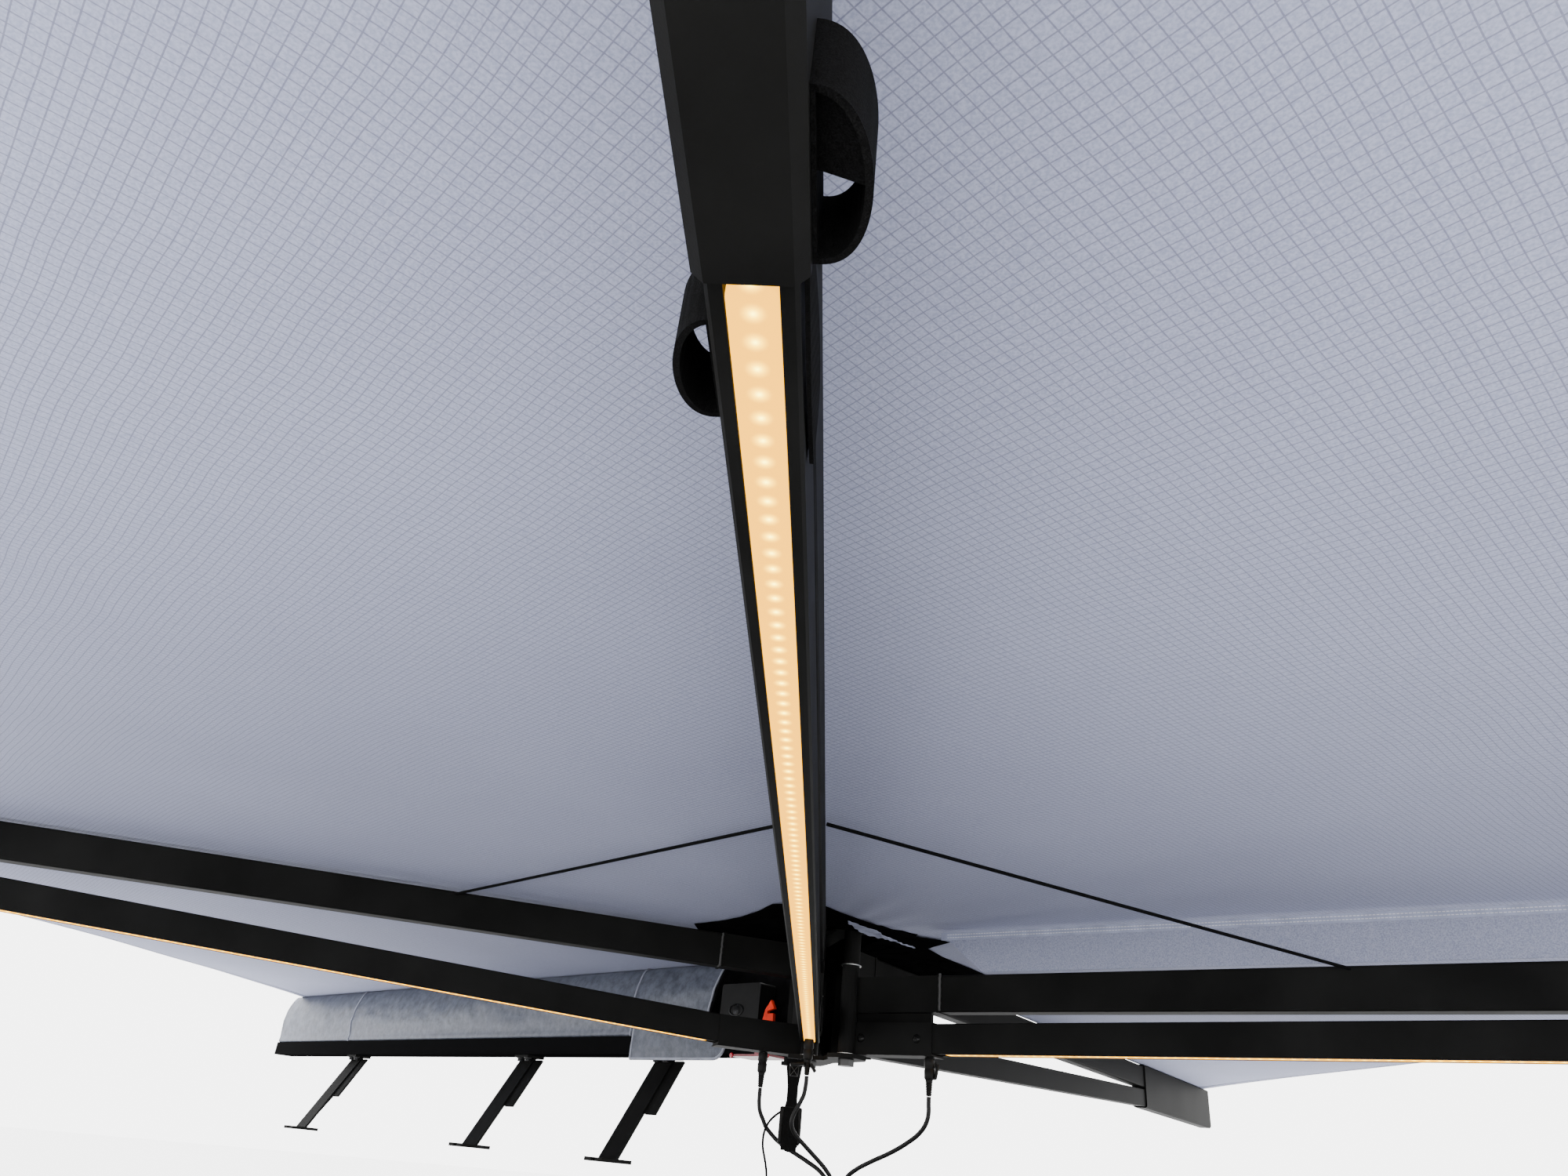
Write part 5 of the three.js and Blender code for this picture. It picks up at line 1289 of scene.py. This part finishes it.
def tail_mesh():
    """A loose strap end that hangs along the beam's side."""
    points, normals, widths = [], [], []
    for i in range(LOOP_STEPS + 1):
        share = i / LOOP_STEPS
        bend = math.sin(math.pi * share)
        c, s = math.cos(TAIL_TWIST * bend), math.sin(TAIL_TWIST * bend)
        along = TAIL_START + (TAIL_END - TAIL_START) * share
        side = TAIL_SIDE + TAIL_BOW * bend + TAIL_LIFT
        points.append(on_arm(2, along, side, TAIL_LEVEL - TAIL_SAG * bend))
        widths.append((UP * c + left_of(2) * s) * TAIL_WIDTH)
        normals.append((left_of(2) * c - UP * s).normalized())
    return ribbon_mesh("strap_tail", points, widths, normals, TAIL_THICKNESS)


def add_web(mesh, side, replaces=None):
    """Shows webbing on arm 2, riding on it, with its own copy of its mesh."""
    piece = show(mesh, "black_cloth", "arm_2", replaces)
    anchor = on_arm(2, LOOP_ANCHOR[0], side, LOOP_ANCHOR[1])
    left_of(2)
    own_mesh(piece)


def add_loops():
    for name, (values, keep) in LOOPS.items():
        add_web(loop_mesh(name + "_web", *values), values[2] * values[3], name)
    add_web(tail_mesh(), TAIL_SIDE)


# The hanging strap and its buckle: places are across the strap, out from its face, and up, in millimetres.
STRAP_PLACE = (-5, -25, -6.3)
STRAP_TURN = 45
STRAP_ACROSS = Vector((math.cos(math.radians(STRAP_TURN)), math.sin(math.radians(STRAP_TURN)), 0))
STRAP_OUT = Vector((-STRAP_ACROSS.y, STRAP_ACROSS.x, 0))
STRAP_LENGTH = 66
STRAP_WIDTHS = (27, 16)
STRAP_TAPER_LENGTH = 38
STRAP_BOW = 0.5
STRAP_THICKNESS = 0.0022
FREE_END_TOP = -58
FREE_END_LENGTH = 66
FREE_END_WIDTHS = (16, 23)
FREE_END_THICKNESS = 0.0018
FREE_END_OUT = -2.2
FREE_END_BOW = 5.2
FREE_END_RETURN = 2.6
SEWN_BOX = ((-7, -8), (7, -8), (6, -24), (-6, -24))
SEWN_RUNS = ((0, 1), (3, 2), (0, 3), (1, 2), (0, 2), (1, 3))
SEWN_FACE = 1.35
SEWN_RADIUS = 0.00035
RIB_COUNT = 7
RIB_TOP = -84.3
RIB_PITCH = 3
RIB_OUT = -2.4
RIB_SIZE = (19, 1.4, 1.3)
RIB_CORNER = 0.3
CHEEK_SIDE = 13.6
CHEEK_LEVEL = -91
CHEEK_SIZE = (5.8, 12.5, 48)
FOOT_BAR_LEVEL = -116.5
FOOT_BAR_SIZE = (26, 10, 6)
CHEEK_CORNER = 2.2
RING_LEVEL = -119.7
RING_WIDE = 7.0
RING_HIGH = 5.2
RING_RADIUS = 0.0011
TETHER_ROUTE = (
    (-15.5, -1.5, -74), (-18, -2, -76), (-23, -3, -80), (-29, -4, -86), (-34, -5, -94), (-37, -6, -103),
    (-38, -7, -113), (-37, -8, -124), (-34, -9, -134), (-31, -10, -144), (-29, -10, -154), (-28, -10, -164),
    (-28, -10, -174),
)
TETHER_DIAMETER = 0.0032
KNOT_PROFILE = ((0.4, 0), (2.8, 0.6), (3.8, 2.8), (3.0, 4.8), (3.6, 6.2), (3.0, 8.4), (0.4, 9.2))
KNOT_OVERLAP = 0.001


def strap_at(across, out, level):
    return hub_point(*STRAP_PLACE) + (STRAP_ACROSS * across + STRAP_OUT * out + UP * level) * MM


def strap_ribbon(name, steps, place, thickness):
    """Flat webbing down the strap; place gives how far out, how high and how wide it is at each share."""
    points, widths = [], []
    for i in range(steps + 1):
        out, level, width = place(i / steps)
        points.append(strap_at(0, out, level))
        widths.append(STRAP_ACROSS * width * MM)
    return ribbon_mesh(name, points, widths, [STRAP_OUT] * len(points), thickness)


def strap_place(share):
    wide, narrow = STRAP_WIDTHS
    width = wide + (narrow - wide) * min(STRAP_LENGTH * share / STRAP_TAPER_LENGTH, 1.0)
    return STRAP_BOW * math.sin(share * 6.0), -STRAP_LENGTH * share, width


def free_end_place(share):
    """The strap's free end is doubled back over the cam on the outer side."""
    narrow, wide = FREE_END_WIDTHS
    bow = FREE_END_BOW * math.sin(math.pi * min(share * 1.25, 1.0) / 2)
    out = FREE_END_OUT - bow + FREE_END_RETURN * max(share - 0.75, 0) / 0.25
    return out, FREE_END_TOP - FREE_END_LENGTH * share, narrow + (wide - narrow) * min(share * 4, 1.0)


def strap_stitches():
    """A sewn box with a cross on the strap's taper, on both faces."""
    meshes = []
    for face in (-SEWN_FACE, SEWN_FACE):
        corners = [strap_at(x, face, z) for x, z in SEWN_BOX]
        for a, b in SEWN_RUNS:
            run = [corners[a].lerp(corners[b], t) for t in (0, 0.5, 1)]
            meshes.append(tube_mesh("stitch", run, SEWN_RADIUS, 6))
    return joined("hanging_strap_stitches", meshes)


def cam_ribs():
    turn = turned_z(STRAP_TURN)
    places = [strap_at(0, RIB_OUT, RIB_TOP - RIB_PITCH * k) for k in range(RIB_COUNT)]
    meshes = [block("rib", RIB_SIZE, RIB_CORNER, place, turn, 2) for place in places]
    return joined("buckle_cam_ribs", meshes)


def buckle_cheeks():
    """Thick rounded cheeks on both sides of the buckle's frame, joined by a bar at the foot."""
    turn = turned_z(STRAP_TURN)
    sides = [strap_at(side, 0, CHEEK_LEVEL) for side in (-CHEEK_SIDE, CHEEK_SIDE)]
    meshes = [block("cheek", CHEEK_SIZE, CHEEK_CORNER, side, turn) for side in sides]
    meshes.append(block("foot_bar", FOOT_BAR_SIZE, CHEEK_CORNER, strap_at(0, 0, FOOT_BAR_LEVEL), turn))
    return joined("buckle_cheeks", meshes)


def add_tether():
    strap = strap_ribbon("hanging_strap_web", 33, strap_place, STRAP_THICKNESS)
    show(strap, "black_cloth", "mount", "hanging_strap")
    free_end = strap_ribbon("buckle_web", 24, free_end_place, FREE_END_THICKNESS)
    show(free_end, "black_cloth", "mount")
    show(strap_stitches(), "dark_thread", "mount")
    show(cam_ribs(), "black_plastic", "buckle_cam")
    show(buckle_cheeks(), "black_plastic", "mount")
    loop = [strap_at(RING_WIDE * c, 0, RING_LEVEL + RING_HIGH * s) for c, s in circle(28)]
    ring = tube_mesh("tether_ring", loop, RING_RADIUS, 8, closed=True)
    show(ring, "black_plastic", "mount")
    points = spline_points([strap_at(*p) for p in TETHER_ROUTE], 4)
    cord = show(tube_mesh("tether_cord", points, TETHER_DIAMETER / 2), "elastic", "mount")
    knot_mesh = lathe_mesh("tether_knot", KNOT_PROFILE, points[-1] + UP * KNOT_OVERLAP, -UP)
    knot = show(knot_mesh, "elastic", "mount")
    declare_cord(cord, points, TETHER_DIAMETER, "knot", "hanging", stiffness="limp", with_pieces=[knot])


# Small hard pieces
BRACKET_SCREWS = (0.022, 0.116)
BRACKET_SCREW_SIDE = -0.0170
BRACKET_SCREW_LEVEL = 0.024
BRACKET_SCREW_SIZE = (6.2, 3.0)
RAIL_SCREWS = ((-2184.6, 76, 28), (-2184.6, 108, 28))
RAIL_SCREW_SIZE = (4, 1.8)
RECESS_DEPTH = 0.8
RECESS_CORNER = 0.1


def round_screw(centre, axis, radius, height):
    """A round-head screw with a cross recess."""
    profile = [(radius, 0)]
    for i in range(1, 7):
        a = math.pi / 2 * i / 7
        profile.append((radius * math.cos(a), height * math.sin(a)))
    head = lathe_mesh("screw", profile, centre, axis, 24, 50)
    one = axis.orthogonal().normalized()
    two = axis.cross(one)
    bars = []
    for way, other in ((one, two), (two, one)):
        turn = Matrix((way, other, axis)).transposed().to_4x4()
        size = (radius * 0.95, radius * 0.2, RECESS_DEPTH)
        place = centre + axis * height * 0.93 * MM
        bars.append(block("slot", size, RECESS_CORNER, place, turn, 1))
    return head, bars


def add_screws():
    heads, slots = [], []
    for along in BRACKET_SCREWS:
        centre = on_arm(3, along, BRACKET_SCREW_SIDE, BRACKET_SCREW_LEVEL)
        head, bars = round_screw(centre, -left_of(3), *BRACKET_SCREW_SIZE)
        heads.append(head)
        slots += bars
    show(joined("bracket_screws", heads), "gloss_black", "arm_3")
    show(joined("bracket_screw_slots", slots), "black_plastic", "arm_3")
    meshes = []
    for place in RAIL_SCREWS:
        head, bars = round_screw(hub_point(*place), Vector((-1, 0, 0)), *RAIL_SCREW_SIZE)
        meshes += [head, *bars]
    show(joined("rail_end_screws", meshes), "steel_dark", "mount")


ROOT_WEB_RUN = (-0.006, 0.132)
ROOT_WEB_SIDE = -0.004
ROOT_WEB_LEVELS = (0.0465, 0.0595)
ROOT_WEB_THICKNESS = 0.006


def add_root_web():
    """The web that closes arm 3's root between its upper and lower sockets, set back from both faces."""
    rows = arm_strip(3, *ROOT_WEB_RUN, ROOT_WEB_SIDE, ROOT_WEB_LEVELS, 8)
    mesh, _ = sheet_solid("arm_3_root_web", rows, ROOT_WEB_THICKNESS, left_of(3), 30)
    show(mesh, "powder_black", "arm_3")


# Weld beads where a root socket meets its beam: the arm, the side of the beam, and the bead's top and foot.
WELD_BEADS = ((1, 0.0158, 0.1665, 0.1180), (3, -0.0158, 0.1120, 0.0630))
WELD_ALONG = 0.151
WELD_ROUGHNESS = 0.0009
WELD_UNDER = 0.012
WELD_RADIUS = 0.0019


def add_weld_beads():
    """Rough beads down the beam's face and under it."""
    for arm, side, top, foot in WELD_BEADS:
        points = []
        for i in range(21):
            share = i / 20
            rough = WELD_ROUGHNESS * noise.noise(Vector((share * 13.0, arm, 9.0)))
            under = math.copysign(WELD_UNDER, side) * max(share - 0.8, 0) / 0.2
            level = top + (foot - top) * min(share / 0.8, 1.0)
            points.append(on_arm(arm, WELD_ALONG + rough, side - under, level))
        mesh = tube_mesh(f"arm_{arm}_weld_bead", points, WELD_RADIUS, 8)
        show(mesh, "weld", f"arm_{arm}")


OVAL_PLACE = (-246, 84)
OVAL_SIZE = (17, 9.5)
OVAL_PLATE = ((0.4, 0), (7.6, 0.2), (8.2, 1.0), (0.4, 1.6))
OVAL_RADIUS = 0.0013
OVAL_SINK = 0.4
BUTTON_PLACE = (-203, 57.3)
BUTTON_RING = (6.6, 6.6)
BUTTON_RADIUS = 0.0011
BUTTON_SINK = 0.3
BOX_FRONT = 67.0


def box_ring(name, place, size, sink, radius, count):
    (x, z), (wide, high) = place, size
    points = [hub_point(x + wide * c, BOX_FRONT - sink, z + high * s) for c, s in circle(count)]
    return tube_mesh(name, points, radius, 8, closed=True)


def add_box_details():
    """On the control box: a raised oval key plate and a collar round the button."""
    rim = box_ring("box_oval_rim", OVAL_PLACE, OVAL_SIZE, OVAL_SINK, OVAL_RADIUS, 40)
    plate_at = hub_point(OVAL_PLACE[0], BOX_FRONT, OVAL_PLACE[1])
    plate = lathe_mesh("box_oval_plate", OVAL_PLATE, plate_at, -BACKWARD)
    collar = box_ring("button_collar", BUTTON_PLACE, BUTTON_RING, BUTTON_SINK, BUTTON_RADIUS, 32)
    show(joined("control_box_trim", [rim, plate, collar]), "gloss_black", "mount")


LATCH_CAPS = ((-241, 62.2, 10), (-153, 62.2, 10))
LATCH_CAP = ((0.6, 2.2), (3.4, 2.0), (4.2, 0.8), (4.2, -0.2), (0.6, -0.2))


def add_latch_caps():
    """Round red caps on the two ends of the latch plate's front edge."""
    meshes = [lathe_mesh("latch_cap", LATCH_CAP, hub_point(*place), -BACKWARD) for place in LATCH_CAPS]
    show(joined("latch_plate_caps", meshes), "red_gloss", "mount")


# Under the rail: each leg's nuts and washers, and the shorter stiffening plate beside it.
LEG_PLACES = (-450, -905, -1700)
LEG_BOLT_SIDE = 14
LEG_BOLT_PLACE = (80.2, 6.6)
LEG_WASHER = ((3, 0), (8.5, 0), (8.5, -1.4), (3, -1.4))
LEG_NUT = ((3, -1.4), (6.2, -1.4), (6.5, -1.8), (6.5, -6), (5.8, -6.6), (3, -6.6))
LEG_TOP = Vector((0, 92, 5))
LEG_FOOT = Vector((0, -8, -170))
PLATE_SIDE = 38
PLATE_SIZE = (30, 106, 4.5)
PLATE_CORNER = 1
PLATE_DOWN = 0.055
PLATE_BACK = 0.002


def add_leg_nuts():
    """The T-bolts that hold each leg under the rail: their nuts and washers below the leg's tab."""
    meshes = []
    for x in LEG_PLACES:
        for side in (-LEG_BOLT_SIDE, LEG_BOLT_SIDE):
            place = hub_point(x + side, *LEG_BOLT_PLACE)
            meshes.append(lathe_mesh("leg_washer", LEG_WASHER, place, sides=24))
            meshes.append(lathe_mesh("leg_nut", LEG_NUT, place, sides=6))
    show(joined("leg_nuts", meshes), "steel_dark", "mount")


def add_leg_plates():
    down = (LEG_FOOT - LEG_TOP).normalized()
    side = Vector((1, 0, 0))
    face = Vector((0, down.z, -down.y))
    turn = Matrix((side, down, side.cross(down))).transposed().to_4x4()
    shift = down * PLATE_DOWN - face * PLATE_BACK
    places = [hub_point(x + PLATE_SIDE, LEG_TOP.y, LEG_TOP.z) + shift for x in LEG_PLACES]
    meshes = [block("plate", PLATE_SIZE, PLATE_CORNER, place, turn, 2) for place in places]
    show(joined("leg_plates", meshes), "powder_black", "mount")


# Each sleeve's height at its outer end: its foot and its top. Arm 3's stands lower.
TIP_LEVELS = (0.072, 0.169)
TIP_LEVELS_3 = (0.030, 0.112)
TIP_CAP_OUT = 0.0008
TIP_CAP_SIZE = (3, 31)
TIP_CAP_INSET = 0.005
TIP_CAP_CORNER = 1.2


def add_tip_caps():
    """A moulded plug in each sleeve's outer end."""
    for arm, (_, bearing, _) in ARMS.items():
        foot, top = TIP_LEVELS_3 if arm == 3 else TIP_LEVELS
        centre = on_arm(arm, ARM_REACH + TIP_CAP_OUT, 0, (foot + top) / 2)
        size = (*TIP_CAP_SIZE, (top - foot - TIP_CAP_INSET) / MM)
        mesh = block(f"arm_{arm}_tip_cap", size, TIP_CAP_CORNER, centre, turned_z(bearing))
        show(mesh, "black_plastic", f"arm_{arm}")


# The floor carries a painted shadow: it is darker under the hub, so that the beams' undersides stay dark.
FLOOR_LEVEL = -0.30
FLOOR_HALF = 14.0
FLOOR_SHADE_CENTRE = Vector((0.3, 0.2, FLOOR_LEVEL))
FLOOR_SHADE_REACH = 3.6
WORLD_STRENGTH = 5.6
FILL_PLACE = Vector((1.5, -2.9, -0.25))
FILL_TARGET = Vector((1.2, -1.5, 0.34))
FILL_SIZE = 2.4
FILL_POWER = 60.0


def add_floor():
    mesh = bpy.data.meshes.new("floor")
    far = FLOOR_HALF
    corners = [(x, y, FLOOR_LEVEL) for x, y in ((-far, -far), (far, -far), (far, far), (-far, far))]
    mesh.from_pydata(corners, [], [(0, 1, 2, 3)])
    floor = bpy.data.objects.new("floor", mesh)
    bpy.context.collection.objects.link(floor)
    material, nodes = new_material("floor", (0.86, 0.86, 0.86), 0.9, shine=0.0)
    offset = nodes.add("VectorMath", {0: nodes.place(), 1: FLOOR_SHADE_CENTRE}, operation="SUBTRACT")
    away = nodes.add("VectorMath", {0: offset.outputs["Vector"]}, operation="LENGTH").outputs["Value"]
    share = nodes.math("DIVIDE", away, FLOOR_SHADE_REACH, clamp=True)
    # Painted shadow: dark round the shade centre, pale farther out.
    nodes.tint(share, (0.15, (0.09, 0.09, 0.09)), (0.9, (0.9, 0.9, 0.9)))
    mesh.materials.append(material)


def add_lights():
    world = bpy.context.scene.world or bpy.data.worlds.new("world")
    bpy.context.scene.world = world
    world.use_nodes = True
    background = world.node_tree.nodes["Background"]
    background.inputs["Color"].default_value = (1, 1, 1, 1)
    background.inputs["Strength"].default_value = WORLD_STRENGTH
    data = bpy.data.lights.new("fill_from_below", "AREA")
    data.size = FILL_SIZE
    data.energy = FILL_POWER
    light = bpy.data.objects.new("fill_from_below", data)
    light.location = FILL_PLACE
    light.rotation_euler = (FILL_TARGET - FILL_PLACE).to_track_quat("-Z", "Y").to_euler()
    bpy.context.collection.objects.link(light)


add_camera()
make_materials()
dress_nodes()
add_light_leads()
add_power_lead()
add_shock_cords()
add_canopy()
add_skirt()
add_gathered_corner()
add_root_guard()
add_hub_cover()
add_bag()
add_flap()
add_lining()
add_plugs()
add_loops()
add_tether()
add_screws()
add_root_web()
add_weld_beads()
add_box_details()
add_latch_caps()
add_leg_nuts()
add_leg_plates()
add_tip_caps()
add_floor()
add_lights()
